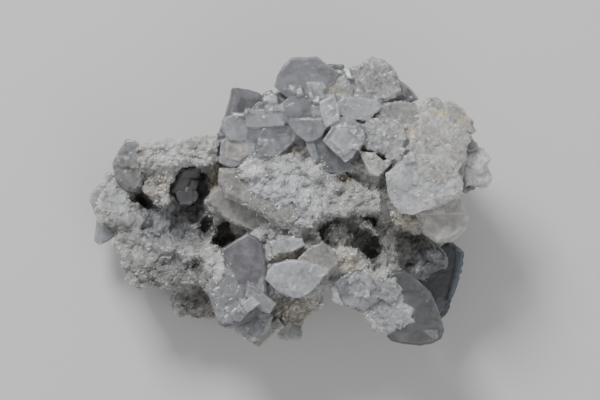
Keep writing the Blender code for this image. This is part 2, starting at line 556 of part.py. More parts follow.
def build_calcite(shown, sockets, hollows):
    """The drusy calcite mass: rounded blocks and knobs run together, hollowed, with a flat base."""
    bm = bmesh.new()
    for mass in CALCITE_MASSES.values():
        mass_mesh(mass, bm)
    for knob in CALCITE_KNOBS.values():
        bmesh.ops.create_icosphere(bm, subdivisions=BALL_SUBDIVISIONS, radius=1, matrix=ball_matrix(knob))
    calcite = add_object("calcite_matrix", bm, shown)
    for hollow_name, hollow in CALCITE_HOLLOWS.items():
        bm = bmesh.new()
        bmesh.ops.create_icosphere(bm, subdivisions=BALL_SUBDIVISIONS, radius=1,
                                   matrix=ball_matrix(hollow))
        hide_cutter(add_object("hollow_" + hollow_name, bm, hollows))
    voxel = CALCITE_VOXEL * MM
    add_modifier(calcite, "REMESH", mode="VOXEL", voxel_size=voxel)
    add_modifier(calcite, "SMOOTH", iterations=SOFTENING, factor=0.5)
    add_boolean(calcite, "DIFFERENCE", hollows)
    add_modifier(calcite, "REMESH", mode="VOXEL", voxel_size=voxel)
    add_modifier(calcite, "SMOOTH", iterations=LIGHT_SOFTENING, factor=0.5)
    add_modifier(calcite, "DISPLACE", texture=bumpy("knobs", "VORONOI", KNOB_SPACING),
                 texture_coords="LOCAL",
                 strength=-KNOB_HEIGHT * MM, mid_level=KNOB_SUNK)
    add_modifier(calcite, "DISPLACE", texture=bumpy("grains", "VORONOI", GRAIN_SPACING),
                 texture_coords="LOCAL",
                 strength=-GRAIN_HEIGHT * MM, mid_level=KNOB_SUNK)
    rough_floor = collection("rough_floor", shown=False)
    floor_cutter("rough_floor_cut", ROUGH_CUT, rough_floor)
    add_boolean(calcite, "DIFFERENCE", rough_floor)
    apply_modifiers(calcite)
    triangles = sum(len(face.vertices) - 2 for face in calcite.data.polygons)
    add_modifier(calcite, "DECIMATE", ratio=CALCITE_TRIANGLES / triangles)
    apply_modifiers(calcite)
    floor_cutter("floor_cut", BASE_CUT, sockets)
    add_boolean(calcite, "DIFFERENCE", sockets)
    apply_modifiers(calcite)
    keep_largest_piece(calcite)
    calcite.data.materials.clear()
    calcite.data.materials.append(stone_material("drusy_calcite", (0.78, 0.78, 0.77), 0.6, 0.0))


def main():
    """Builds the specimen."""
    clear_scene()
    shown = collection("barite_with_calcite")
    sockets = collection("sockets", shown=False)
    hollows = collection("hollows", shown=False)
    build_crystals(shown, sockets)
    build_calcite(shown, sockets, hollows)


main()
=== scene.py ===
"""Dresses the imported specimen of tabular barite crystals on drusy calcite, and lights it.

The specimen lies on its broken back with the display face up. Places and sizes in the tables and
the classes are in millimetres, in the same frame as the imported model, and meshes are in metres.
"""

import logging
import math
from dataclasses import dataclass, fields
from enum import Enum

import bmesh
import bpy
import numpy as np
from mathutils import Matrix, Vector, noise
from mathutils.bvhtree import BVHTree


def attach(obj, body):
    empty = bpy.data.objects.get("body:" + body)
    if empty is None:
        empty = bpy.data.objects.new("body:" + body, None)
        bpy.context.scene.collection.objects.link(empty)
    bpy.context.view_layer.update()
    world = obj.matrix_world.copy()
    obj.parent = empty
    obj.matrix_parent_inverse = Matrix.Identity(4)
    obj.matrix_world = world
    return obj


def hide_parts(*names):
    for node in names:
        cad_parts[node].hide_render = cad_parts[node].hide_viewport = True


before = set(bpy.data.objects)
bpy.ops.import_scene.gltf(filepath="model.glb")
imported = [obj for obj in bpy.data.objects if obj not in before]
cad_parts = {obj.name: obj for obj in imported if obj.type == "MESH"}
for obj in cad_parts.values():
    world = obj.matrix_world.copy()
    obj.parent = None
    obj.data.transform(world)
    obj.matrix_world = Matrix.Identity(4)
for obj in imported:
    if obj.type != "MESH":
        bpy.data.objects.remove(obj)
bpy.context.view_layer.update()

MM = 0.001
BODY = "root"
TONE = "tone"
SEED = 41
DOWN = Vector((0, 0, -1))

# How steeply a region takes hold from its border inwards: it is at full strength over its core.
BORDER_STEEPNESS = 1.8
# The waves that bend the borders of regions along X and along Y: how far each reaches in
# millimetres, and its radians for each millimetre along X and Y.
BORDER_WAVES = (
    ((0.8, 0.7, 1.3), (0.5, 3.1, -1.9)),
    ((0.8, 1.1, -0.6), (0.5, 2.3, 2.7)),
)
# The distance in millimetres within which a neighbouring surface counts.
NEAR = 3.0
# Sets the seeds of neighbouring growth facets far apart, so that each gets a tilt of its own.
CELL_SCRAMBLE = 53.0

log = logging.getLogger("barite_with_calcite")


class Mineral(Enum):
    """The material slots of the record."""

    MILKY_BARITE = "milky_barite"
    SMOKY_BARITE = "smoky_barite"
    WHITE_CALCITE = "white_calcite"
    DRUSY_CALCITE = "drusy_calcite"


class GrainForm(Enum):
    """The shapes that the tiny crystals of a druse take."""

    RHOMB = "rhomb"
    POINT = "point"


@dataclass(frozen=True)
class Region:
    """An elliptical area of the display face and how its surface differs from its surroundings.

    The tone is an sRGB hex value mixed in by its strength. The grain factor scales the size of
    the grains there, the cover factor how densely they stand, and the turn is in degrees.
    """

    x: float
    y: float
    rx: float
    ry: float
    tone: str
    strength: float
    grain: float = 1.0
    cover: float = 1.0
    turn: float = 0.0


@dataclass(frozen=True)
class Dent:
    """A lump raised on the display face, or with a negative height a pit sunk into it."""

    x: float
    y: float
    rx: float
    ry: float
    height: float
    turn: float = 0.0


def linear(hex_colour: str) -> tuple[float, float, float]:
    """Turns an sRGB colour into linear values.

    Args:
        hex_colour: The colour as "#RRGGBB".

    Returns:
        Its linear red, green and blue.
    """
    values = (int(hex_colour[i : i + 2], 16) / 255 for i in (1, 3, 5))
    red, green, blue = (v / 12.92 if v <= 0.04045 else ((v + 0.055) / 1.055) ** 2.4 for v in values)
    return red, green, blue


def inside_share(points: np.ndarray, area: Region | Dent) -> np.ndarray:
    """Finds how far inside an ellipse each point lies in plan.

    Args:
        points: Positions in millimetres, one a row.
        area: The region or dent whose ellipse is meant.

    Returns:
        1 at the ellipse's middle, falling to 0 at its edge and beyond.
    """
    turn = math.radians(area.turn)
    dx, dy = points[:, 0] - area.x, points[:, 1] - area.y
    along = (dx * math.cos(turn) + dy * math.sin(turn)) / area.rx
    across = (dy * math.cos(turn) - dx * math.sin(turn)) / area.ry
    return np.clip(1 - np.hypot(along, across), 0, 1)


def eased(share: np.ndarray) -> np.ndarray:
    """Eases a share from 0 to 1 in and out."""
    return share * share * (3 - 2 * share)


def region_share(points: np.ndarray, region: Region) -> np.ndarray:
    """Finds how far a region holds at each point, from 0 outside it to 1 over its core."""
    return np.minimum(eased(inside_share(points, region)) * BORDER_STEEPNESS, 1)


def wavering(points: np.ndarray) -> np.ndarray:
    """Shifts points in plan by up to a millimetre or so, which gives regions uneven borders.

    Args:
        points: Positions in millimetres, one a row.

    Returns:
        The shifted positions.
    """
    x, y = points[:, 0], points[:, 1]
    moved = points.copy()
    for axis, waves in enumerate(BORDER_WAVES):
        moved[:, axis] += sum(reach * np.sin(by_x * x + by_y * y) for reach, by_x, by_y in waves)
    return moved


def tinted(tones: np.ndarray, points: np.ndarray, regions: tuple[Region, ...]) -> np.ndarray:
    """Mixes the tones of regions into those that points have.

    Args:
        tones: Linear red, green and blue, one a row.
        points: The points' positions in millimetres.
        regions: The regions, of which a later one covers those before it.

    Returns:
        The mixed tones.
    """
    moved = wavering(points)
    for region in regions:
        share = region_share(moved, region) * region.strength
        tones = tones + (np.array(linear(region.tone)) - tones) * share[:, None]
    return tones


def noise_at(points: np.ndarray, width: float) -> np.ndarray:
    """Samples soft noise of about -1 to 1 whose patches are as many millimetres wide as given."""
    return np.fromiter((noise.noise(Vector(p) / width) for p in points), float, len(points))


def set_inputs(node: bpy.types.Node, inputs: dict[str | int, object]) -> None:
    """Sets a shader node's inputs.

    Args:
        node: The node.
        inputs: By the input's name or number, another node's socket to link it to or a value.
    """
    for name, value in inputs.items():
        if isinstance(value, bpy.types.NodeSocket):
            node.id_data.links.new(value, node.inputs[name])
        else:
            node.inputs[name].default_value = value


def add_node(
    tree: bpy.types.NodeTree, kind: str, inputs: dict | None = None, **settings: str
) -> bpy.types.Node:
    """Adds a shader node with its settings and its inputs.

    Args:
        tree: The node tree that gets it.
        kind: The node's type name.
        inputs: Its inputs, as for set_inputs.
        settings: Properties of the node by name.

    Returns:
        The new node.
    """
    node = tree.nodes.new(kind)
    for name, value in settings.items():
        setattr(node, name, value)
    set_inputs(node, inputs or {})
    return node


def new_material(name: str) -> tuple[bpy.types.Material, bpy.types.NodeTree, bpy.types.Node]:
    """Starts a material.

    Args:
        name: Its name.

    Returns:
        The material, its node tree and its shader.
    """
    material = bpy.data.materials.new(name)
    material.use_nodes = True
    return material, material.node_tree, material.node_tree.nodes["Principled BSDF"]


@dataclass(frozen=True)
class DrusyCalcite:
    """Calcite druse: thousands of tiny rhombs grown wild, each face a small dull mirror.

    The eye sees a bright white sugar, because light scatters between the grains, with greyer
    cavities and here and there a glint.

    Attributes:
        name: The material's name.
        roughness: How dull the faces of the grains are.
        ior: The refractive index of calcite.
        sugar_mm: The width of the finest grains, which only the bump shows.
        sugar_bump: How strongly they stand out, and their height in millimetres.
        clouds_per_m: How many faint clouds there are along a metre.
        cloud_range: The noise values between which a cloud goes from dark to light.
        cloud_light: How light the stuff is in the darkest and the lightest cloud, as shares.
    """

    name: str = "drusy calcite"
    roughness: float = 0.42
    ior: float = 1.6
    sugar_mm: float = 0.5
    sugar_bump: tuple[float, float] = (0.25, 0.2)
    clouds_per_m: float = 260.0
    cloud_range: tuple[float, float] = (0.3, 0.75)
    cloud_light: tuple[float, float] = (0.86, 1.05)

    def make(self) -> bpy.types.Material:
        """Builds the material, whose colour follows the tone painted on each grain.

        Returns:
            The material.
        """
        material, tree, shader = new_material(self.name)
        place = add_node(tree, "ShaderNodeTexCoord").outputs["Object"]
        tone = add_node(tree, "ShaderNodeAttribute", attribute_name=TONE)
        sugar = add_node(
            tree, "ShaderNodeTexNoise", {"Vector": place, "Scale": 1 / (self.sugar_mm * MM), "Detail": 3.0}
        )
        clouds = add_node(
            tree, "ShaderNodeTexNoise", {"Vector": place, "Scale": self.clouds_per_m, "Detail": 4.0}
        )
        (low, high), (dark, light) = self.cloud_range, self.cloud_light
        lightness = add_node(tree, "ShaderNodeMapRange", {
            "Value": clouds.outputs["Fac"], "From Min": low, "From Max": high, "To Min": dark,
            "To Max": light,
        })
        colour = add_node(
            tree, "ShaderNodeVectorMath", {0: tone.outputs["Color"], "Scale": lightness.outputs[0]},
            operation="SCALE",
        )
        strength, height = self.sugar_bump
        bump = add_node(tree, "ShaderNodeBump", {
            "Strength": strength, "Distance": height * MM, "Height": sugar.outputs["Fac"],
        })
        set_inputs(shader, {
            "Base Color": colour.outputs[0], "Normal": bump.outputs[0], "Roughness": self.roughness,
            "IOR": self.ior, "Transmission Weight": 0.0,
        })
        return material


@dataclass(frozen=True)
class TabularBarite:
    """Barite in tabular crystals: colourless to milky, with a vitreous to pearly lustre.

    Veils of tiny bubbles scatter most of the light, so that a plate looks like frosted glass,
    greyer where it is clear and whiter where the veils or a sugary skin lie.

    Attributes:
        name: The material's name.
        roughness: How dull the faces are.
        ior: The refractive index of barite.
        haze: The share of the light that scatters inside.
        haze_mm: How far that light spreads.
        veil_mm: The width of a veil.
        veil_range: The noise values between which a veil goes from nothing to full.
        veil_block: The share of the clear light that a full veil holds back.
        skin_mm: The width of the grains in the sugary skin.
        skin_bump: How strongly they stand out, and their height in millimetres.
        lights: How light the bare crystal is, and what a veil and a grain add, as shares.
    """

    name: str
    roughness: float = 0.28
    ior: float = 1.64
    haze: float = 1.0
    haze_mm: float = 1.1
    veil_mm: float = 5.0
    veil_range: tuple[float, float] = (0.35, 0.72)
    veil_block: float = 0.5
    skin_mm: float = 0.55
    skin_bump: tuple[float, float] = (0.35, 0.12)
    lights: tuple[float, float, float] = (0.64, 0.42, 0.46)

    def make(self) -> bpy.types.Material:
        """Builds the material, whose colour and clearness follow what is painted on the crystals.

        Returns:
            The material.
        """
        material, tree, shader = new_material(self.name)
        place = add_node(tree, "ShaderNodeTexCoord").outputs["Object"]
        tone = add_node(tree, "ShaderNodeAttribute", attribute_name=TONE)
        veils = add_node(tree, "ShaderNodeTexNoise", {
            "Vector": place, "Scale": 1 / (self.veil_mm * MM), "Detail": 7.0, "Roughness": 0.68,
            "Distortion": 0.6,
        })
        veil = add_node(tree, "ShaderNodeMapRange", {
            "Value": veils.outputs["Fac"], "From Min": self.veil_range[0], "From Max": self.veil_range[1],
        })
        grain = add_node(
            tree, "ShaderNodeTexNoise", {"Vector": place, "Scale": 1 / (self.skin_mm * MM), "Detail": 3.0}
        )
        bare_light, veil_light, grain_light = self.lights
        veiled = add_node(
            tree, "ShaderNodeMath", {0: veil.outputs[0], 1: veil_light, 2: bare_light},
            operation="MULTIPLY_ADD",
        )
        grained = add_node(
            tree, "ShaderNodeMath", {0: grain.outputs["Fac"], 1: grain_light, 2: veiled.outputs[0]},
            operation="MULTIPLY_ADD",
        )
        colour = add_node(
            tree, "ShaderNodeVectorMath", {0: tone.outputs["Color"], "Scale": grained.outputs[0]},
            operation="SCALE",
        )
        strength, height = self.skin_bump
        bump = add_node(tree, "ShaderNodeBump", {
            "Strength": strength, "Distance": height * MM, "Height": grain.outputs["Fac"],
        })
        thinned = add_node(
            tree, "ShaderNodeMath", {0: veil.outputs[0], 1: -self.veil_block, 2: 1.0},
            operation="MULTIPLY_ADD",
        )
        clearness = add_node(
            tree, "ShaderNodeMath", {0: tone.outputs["Alpha"], 1: thinned.outputs[0]}, operation="MULTIPLY"
        )
        set_inputs(shader, {
            "Base Color": colour.outputs[0], "Transmission Weight": clearness.outputs[0],
            "Normal": bump.outputs[0], "Roughness": self.roughness, "IOR": self.ior,
            "Subsurface Weight": self.haze, "Subsurface Radius": (1, 1, 1),
            "Subsurface Scale": self.haze_mm * MM,
        })
        return material


# Where the display face is whiter, darker, stained, finer or coarser than the rest, and where shade is
# painted on it.
DRUSE_REGIONS = (
    Region(-35, 15.4, 17, 6.5, "#E2E2E0", 1.0, 0.95, 1.3),
    Region(-30.5, 17.4, 6, 1.8, "#B5B2AB", 0.8),
    Region(-37.2, 13.4, 6.5, 2.6, "#FBFBFB", 1.0, 0.9, 1.3),
    Region(-26.4, 12.8, 3.2, 3, "#F6F6F4", 0.9),
    Region(-43.2, 10.8, 1.6, 2.2, "#8B8984", 0.8),
    # Painted shade: a face in shade at the upper left.
    Region(-49.8, 15.3, 4.5, 2.2, "#8C8C8D", 0.9, 0.6, 0.6),
    Region(-48, 8, 7.5, 8, "#B6B7B8", 0.9, 0.6, 0.5),
    Region(-48.3, 9.9, 2.2, 1.6, "#E6DFCF", 0.8),
    Region(-41, 4.8, 6.5, 6, "#C3BDB2", 0.8, 1.25, 1.0),
    Region(-53.4, 0.3, 4.4, 5, "#DDE0E3", 1.0, 0.6, 0.9),
    Region(-58.2, 0.9, 4, 4, "#EDECE8", 0.8),
    Region(-39, -7.8, 15, 9, "#ABADB0", 0.9, 0.6, 0.8, -15),
    Region(-52.2, -7.5, 6, 2.4, "#8F8D8A", 0.8, 0.6, 0.6, -10),
    # Painted shade: the near-black greys in the left vug and in the hole beside it stand for the shade in
    # them.
    Region(-31.2, -2, 7.5, 4, "#4A4A48", 0.9, 0.7, 0.5),
    Region(-27.3, 3.9, 3.4, 8, "#5A5956", 0.8, 0.7, 0.5),
    Region(-45.6, 0.5, 3.6, 3.2, "#585650", 0.85, 0.7, 0.5),
    # Painted shade: a dark pit.
    Region(-25.8, -8.4, 3.6, 4.4, "#6E6C66", 0.7),
    Region(-38, -21, 19, 6.5, "#989897", 0.9, 1.1, 1.2),
    Region(-35.1, -17.4, 2.2, 3.2, "#87898C", 0.9, 0.5, 0.3),
    # Painted shade: an olive-grey pit.
    Region(-28.2, -19.2, 3.6, 3.4, "#63615A", 0.7),
    Region(-23, 6, 3.4, 5.5, "#B8A88F", 0.8, 1.2, 1.1),
    Region(-22.2, 11.2, 1.8, 2, "#8A6A48", 0.9),
    Region(-45.6, 14.8, 2.4, 1.3, "#80603F", 0.95, 1.0, 1.0, -20),
    Region(-18.6, -6, 7.5, 7, "#C4C1BA", 0.8, 1.2, 1.0),
    # Painted shade: the deep triangular hollow.
    Region(-20.4, -12.6, 4, 3.6, "#3E3E36", 0.9, 0.6, 0.3),
    Region(-4, 2, 20, 14, "#EFF1F4", 0.9, 1.0, 1.2),
    Region(-14, 10.5, 6, 3.6, "#FAFAF8", 1.0),
    Region(-6.3, 8, 3.6, 3, "#B5B6B8", 0.8, 0.8, 0.8),
    Region(6.9, 10.2, 3.6, 4.4, "#FAFAF9", 1.0),
    # Painted shade: the olive-grey gap at the foot of the top cluster.
    Region(1.8, 15.9, 5, 3.4, "#77736A", 0.9, 0.6, 0.4),
    Region(17, 7.4, 3, 1.4, "#8D7C5E", 0.9),
    Region(34.8, -5.1, 9, 6.4, "#DBD4C8", 0.9, 1.1, 1.1),
    # Painted shade: below the white calcite blocks at the right.
    Region(54.6, 4.5, 5.6, 3.8, "#77787A", 0.8, 1.0, 0.8),
    # Painted shade: the greys of the recess under its lip, on its floor, a lighter column and its knobs.
    Region(26, -12, 20, 8, "#8C8B87", 0.7),
    Region(29, -17, 4, 4.5, "#A9A9A8", 0.6),
    Region(42.5, -17.5, 12, 8, "#94969A", 1.0, 0.5, 0.8),
    Region(14.6, -16.4, 7, 6.6, "#E2DED5", 0.8, 1.35, 1.2),
    Region(17.6, -19.4, 3.6, 3.0, "#E0D6C2", 0.9, 1.2),
    # Painted shade: the darkest corner of the recess.
    Region(24.6, -17.6, 3.2, 3.8, "#5E5C56", 0.9),
    Region(24, 36.5, 10, 6.5, "#BDBDBB", 0.8),
    Region(28, 19.5, 7, 5.5, "#F8F8F6", 0.9),
    Region(-1.5, -16.4, 6, 2.8, "#D6CBB8", 0.9, 1.2),
    Region(1.5, -33, 10, 8, "#CFC9BE", 0.8, 1.5, 1.0),
    Region(6.9, -32.4, 3.6, 3.4, "#E9E6DF", 0.9, 1.5),
    Region(-27, -30.9, 12.5, 7.5, "#8B8986", 0.85, 1.1, 1.0),
    # Painted shade: a soft shaded slope below the left wing.
    Region(-29.5, -7, 7.5, 7, "#7C7D80", 0.85, 0.6, 0.8),
    Region(22.4, -7.4, 5, 1.6, "#EDEDEC", 0.9, 1.0, 1.2, -35),
    Region(-23, -19.6, 4.6, 6, "#EFEFEE", 1.0, 1.0, 1.2),
    Region(56, 10, 7, 6, "#FBFBFA", 1.0),
    Region(39.5, 4, 11, 9, "#FFFFFF", 1.0),
)

# The lumps and pits of the druse, larger than its grains.
DRUSE_DENTS = (
    Dent(-49.4, 13.6, 3.6, 2.8, -2.4),
    Dent(-49, 8.4, 5, 5, -1.2),
    Dent(-46.4, 0.8, 2.6, 3.2, -4.0),
    Dent(-43.4, -0.3, 3.2, 1.8, -2.5),
    Dent(-39.6, 8.1, 1.2, 1.8, -1.6),
    Dent(-25.8, -8.4, 2.2, 3.4, -2.4, -20),
    Dent(-38.4, -18.9, 1.8, 1.6, -2.2),
    Dent(-28.2, -19.2, 2.8, 2.8, -1.8),
    Dent(3.6, 4.2, 3.0, 1.4, -2.2),
    Dent(13.8, 6.9, 3.0, 1.3, -2.6),
    Dent(17.4, 7.6, 3.2, 1.0, -2.2, -10),
    Dent(14.4, 2.7, 2.2, 1.5, -3.2, 35),
    Dent(21.6, 11.7, 1.8, 2.2, -3.0),
    Dent(6.9, 10.2, 3.4, 4.2, 1.6),
    Dent(-14, 9.4, 6, 3.4, 2.0),
    Dent(-51, -6, 9, 6, 1.6),
    Dent(17, -9.6, 7, 3.4, 2.5, -12),
    Dent(29.4, -12, 4, 7, 2.0),
    Dent(25, -17.5, 2.6, 3.2, -1.2),
    Dent(41.4, -16.2, 3.4, 3.2, 3.0),
    Dent(44.7, -18.4, 3.0, 3.0, 3.0),
    Dent(38.4, -20.4, 2.6, 2.6, 3.0),
)

# Hollows between the crystals that druse fills, with the height in millimetres that it reaches.
DRUSE_FILLS = (
    Dent(-6, -9.0, 6.4, 5.4, 37),
    Dent(-43.4, 7.2, 2.4, 2.4, 29.4),
    Dent(-13.0, -7.4, 5.4, 3.4, 31),
    Dent(-1.6, -15.4, 6.6, 3.4, 40),
    Dent(-3, 13.4, 17, 5, 41.5, 3),
    Dent(22, 10, 7, 3.6, 41, -20),
    Dent(33, 17.5, 3.4, 5, 42),
    Dent(26.5, 22.8, 8, 2.4, 42),
    Dent(14.2, -10.6, 4.4, 4.6, 34.5),
    Dent(22.4, -7.4, 5, 1.5, 36.5, -35),
    Dent(-23.2, -19.4, 3.6, 5.6, 39.4),
    Dent(-23.6, -20.4, 5, 7, 36),
    Dent(31.5, 13.6, 5, 2.2, 44.6, 38),
    Dent(34.4, 22, 2.6, 2.6, 44.8),
    Dent(25.4, 25.9, 2.6, 1.8, 44.4),
    Dent(20.8, 24.3, 2.4, 1.6, 44.8, -20),
    Dent(-51.6, -5.2, 9, 5.4, 30.6),
    Dent(-50, 13.6, 4, 4, 30),
    Dent(-7.2, 6.8, 12.5, 5.6, 43.6, -41),
    Dent(1.4, -5.4, 4, 4.4, 42.4),
    Dent(34, -5.4, 5.6, 3, 40, -35),
)

# Where the walls of the mass swell outwards, by as many millimetres as the height says.
DRUSE_BULGES = (
    Dent(-47.5, -22, 7, 6, 2.6, -35),
    Dent(-36, -32, 5, 4.5, 1.8),
    Dent(-27, 18, 4.5, 3, 1.6),
    Dent(-36, 18, 3.5, 3, 1.0),
    Dent(-53, 11.5, 4, 4, 2.2),
    Dent(-53, -13.5, 5, 4, 1.6),
)


@dataclass(frozen=True)
class DruseField:
    """The tones and the grain of the calcite over the whole specimen.

    Attributes:
        plain: The tone away from all regions.
        regions: The areas that differ from it.
    """

    plain: str = "#D6D6D4"
    regions: tuple[Region, ...] = DRUSE_REGIONS

    def tone(self, points: np.ndarray) -> np.ndarray:
        """Finds the linear colour of the calcite at each point, one a row, with the painted shade of the
        darker regions.
        """
        return tinted(np.tile(np.array(linear(self.plain)), (len(points), 1)), points, self.regions)

    def factor(self, points: np.ndarray, name: str) -> np.ndarray:
        """Finds the factor of grain size or cover at each point.

        Args:
            points: Positions in millimetres, one a row.
            name: "grain" or "cover".

        Returns:
            The factor at each point.
        """
        moved = wavering(points)
        factors = np.ones(len(points))
        for region in self.regions:
            factors += (getattr(region, name) - factors) * region_share(moved, region)
        return factors


def put(name: str, data: bpy.types.ID) -> bpy.types.Object:
    """Puts a mesh, a lamp or a camera in the scene.

    Args:
        name: The new object's name.
        data: What it shows.

    Returns:
        The object.
    """
    obj = bpy.data.objects.new(name, data)
    bpy.context.scene.collection.objects.link(obj)
    return obj


def add_piece(
    name: str, mesh: bpy.types.Mesh, material: bpy.types.Material
) -> bpy.types.Object:
    """Puts a mesh in the scene as a piece that rides on the specimen.

    Args:
        name: The piece's name.
        mesh: Its mesh, already in place.
        material: Its material.

    Returns:
        The new object.
    """
    obj = put(name, mesh)
    mesh.materials.clear()
    mesh.materials.append(material)
    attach(obj, BODY)
    return obj


def mesh_of(bm: bmesh.types.BMesh, name: str) -> bpy.types.Mesh:
    """Turns a bmesh into a mesh and frees it.

    Args:
        bm: The bmesh.
        name: The mesh's name.

    Returns:
        The mesh.
    """
    mesh = bpy.data.meshes.new(name)
    bm.to_mesh(mesh)
    bm.free()
    return mesh


def surface_of(*meshes: bpy.types.Mesh) -> BVHTree:
    """Makes one search tree of the surfaces of meshes.

    Args:
        meshes: The meshes, in metres.

    Returns:
        The tree.
    """
    joined = bmesh.new()
    for mesh in meshes:
        joined.from_mesh(mesh)
    tree = BVHTree.FromBMesh(joined)
    joined.free()
    return tree


def gaps_to(surface: BVHTree, points: np.ndarray) -> np.ndarray:
    """Measures how far points lie from a surface.

    Args:
        surface: The surface's search tree.
        points: Positions in millimetres, one a row.

    Returns:
        The distances in millimetres, none above NEAR.
    """
    reach = NEAR * MM
    return np.array([surface.find_nearest(Vector(p) * MM, reach)[3] or reach for p in points]) / MM


def vectors_in(rows: bpy.types.bpy_prop_collection, name: str) -> np.ndarray:
    """Reads one vector from each of a mesh's elements.

    Args:
        rows: The elements.
        name: The vector's name.

    Returns:
        The vectors, one a row.
    """
    flat = np.empty(len(rows) * 3, np.float32)
    rows.foreach_get(name, flat)
    return flat.reshape(-1, 3).astype(float)


def coordinates(mesh: bpy.types.Mesh) -> np.ndarray:
    """Reads a mesh's vertex positions in millimetres, one a row."""
    return vectors_in(mesh.vertices, "co") / MM


def vertex_normals(mesh: bpy.types.Mesh) -> np.ndarray:
    """Reads a mesh's vertex normals, one a row."""
    return vectors_in(mesh.vertex_normals, "vector")


def move_to(mesh: bpy.types.Mesh, points: np.ndarray) -> None:
    """Writes vertex positions given in millimetres back to a mesh."""
    mesh.vertices.foreach_set("co", (points * MM).astype(np.float32).ravel())
    mesh.update()


def paint(mesh: bpy.types.Mesh, tones: np.ndarray, clearness: np.ndarray | float = 1.0) -> None:
    """Stores a linear colour for each vertex.

    Args:
        mesh: The mesh that gets the attribute.
        tones: Linear red, green and blue, one row a vertex.
        clearness: The share of light that passes, kept in the colour's fourth channel.
    """
    layer = mesh.attributes.new(TONE, "FLOAT_COLOR", "POINT")
    rows = np.empty((len(tones), 4), np.float32)
    rows[:, :3] = tones
    rows[:, 3] = clearness
    layer.data.foreach_set("color", rows.ravel())


def reshaped(mesh: bpy.types.Mesh, cell: float = 0.0, rounds: int = 0) -> bpy.types.Mesh:
    """Runs a mesh's shells together into one skin of even cells, and smooths it.

    Args:
        mesh: The mesh to start from.
        cell: The width of the new cells in millimetres, or 0 to keep the old ones.
        rounds: How many rounds of smoothing it gets.

    Returns:
        A new mesh.
    """
    obj = put(mesh.name, mesh)
    if cell:
        remesh = obj.modifiers.new("even cells", "REMESH")
        remesh.mode, remesh.voxel_size = "VOXEL", cell * MM
    if rounds:
        smooth = obj.modifiers.new("smoothing", "SMOOTH")
        smooth.iterations, smooth.factor = rounds, 0.5
    bpy.context.view_layer.update()
    made = bpy.data.meshes.new_from_object(obj.evaluated_get(bpy.context.evaluated_depsgraph_get()))
    bpy.data.objects.remove(obj, do_unlink=True)
    return made


def knobs_at(points: np.ndarray, spacing: float) -> np.ndarray:
    """Samples rounded knobs packed side by side.

    Args:
        points: Positions in millimetres, one a row.
        spacing: The distance between neighbouring knobs in millimetres.

    Returns:
        1 on the crown of a knob, falling to 0 in the crease between knobs.
    """
    knob_radius = 0.75
    scaled = points / spacing
    nearest = np.fromiter((noise.voronoi(p)[0][0] for p in scaled), float, len(scaled))
    return np.sqrt(np.clip(1 - (nearest / knob_radius) ** 2, 0, 1))


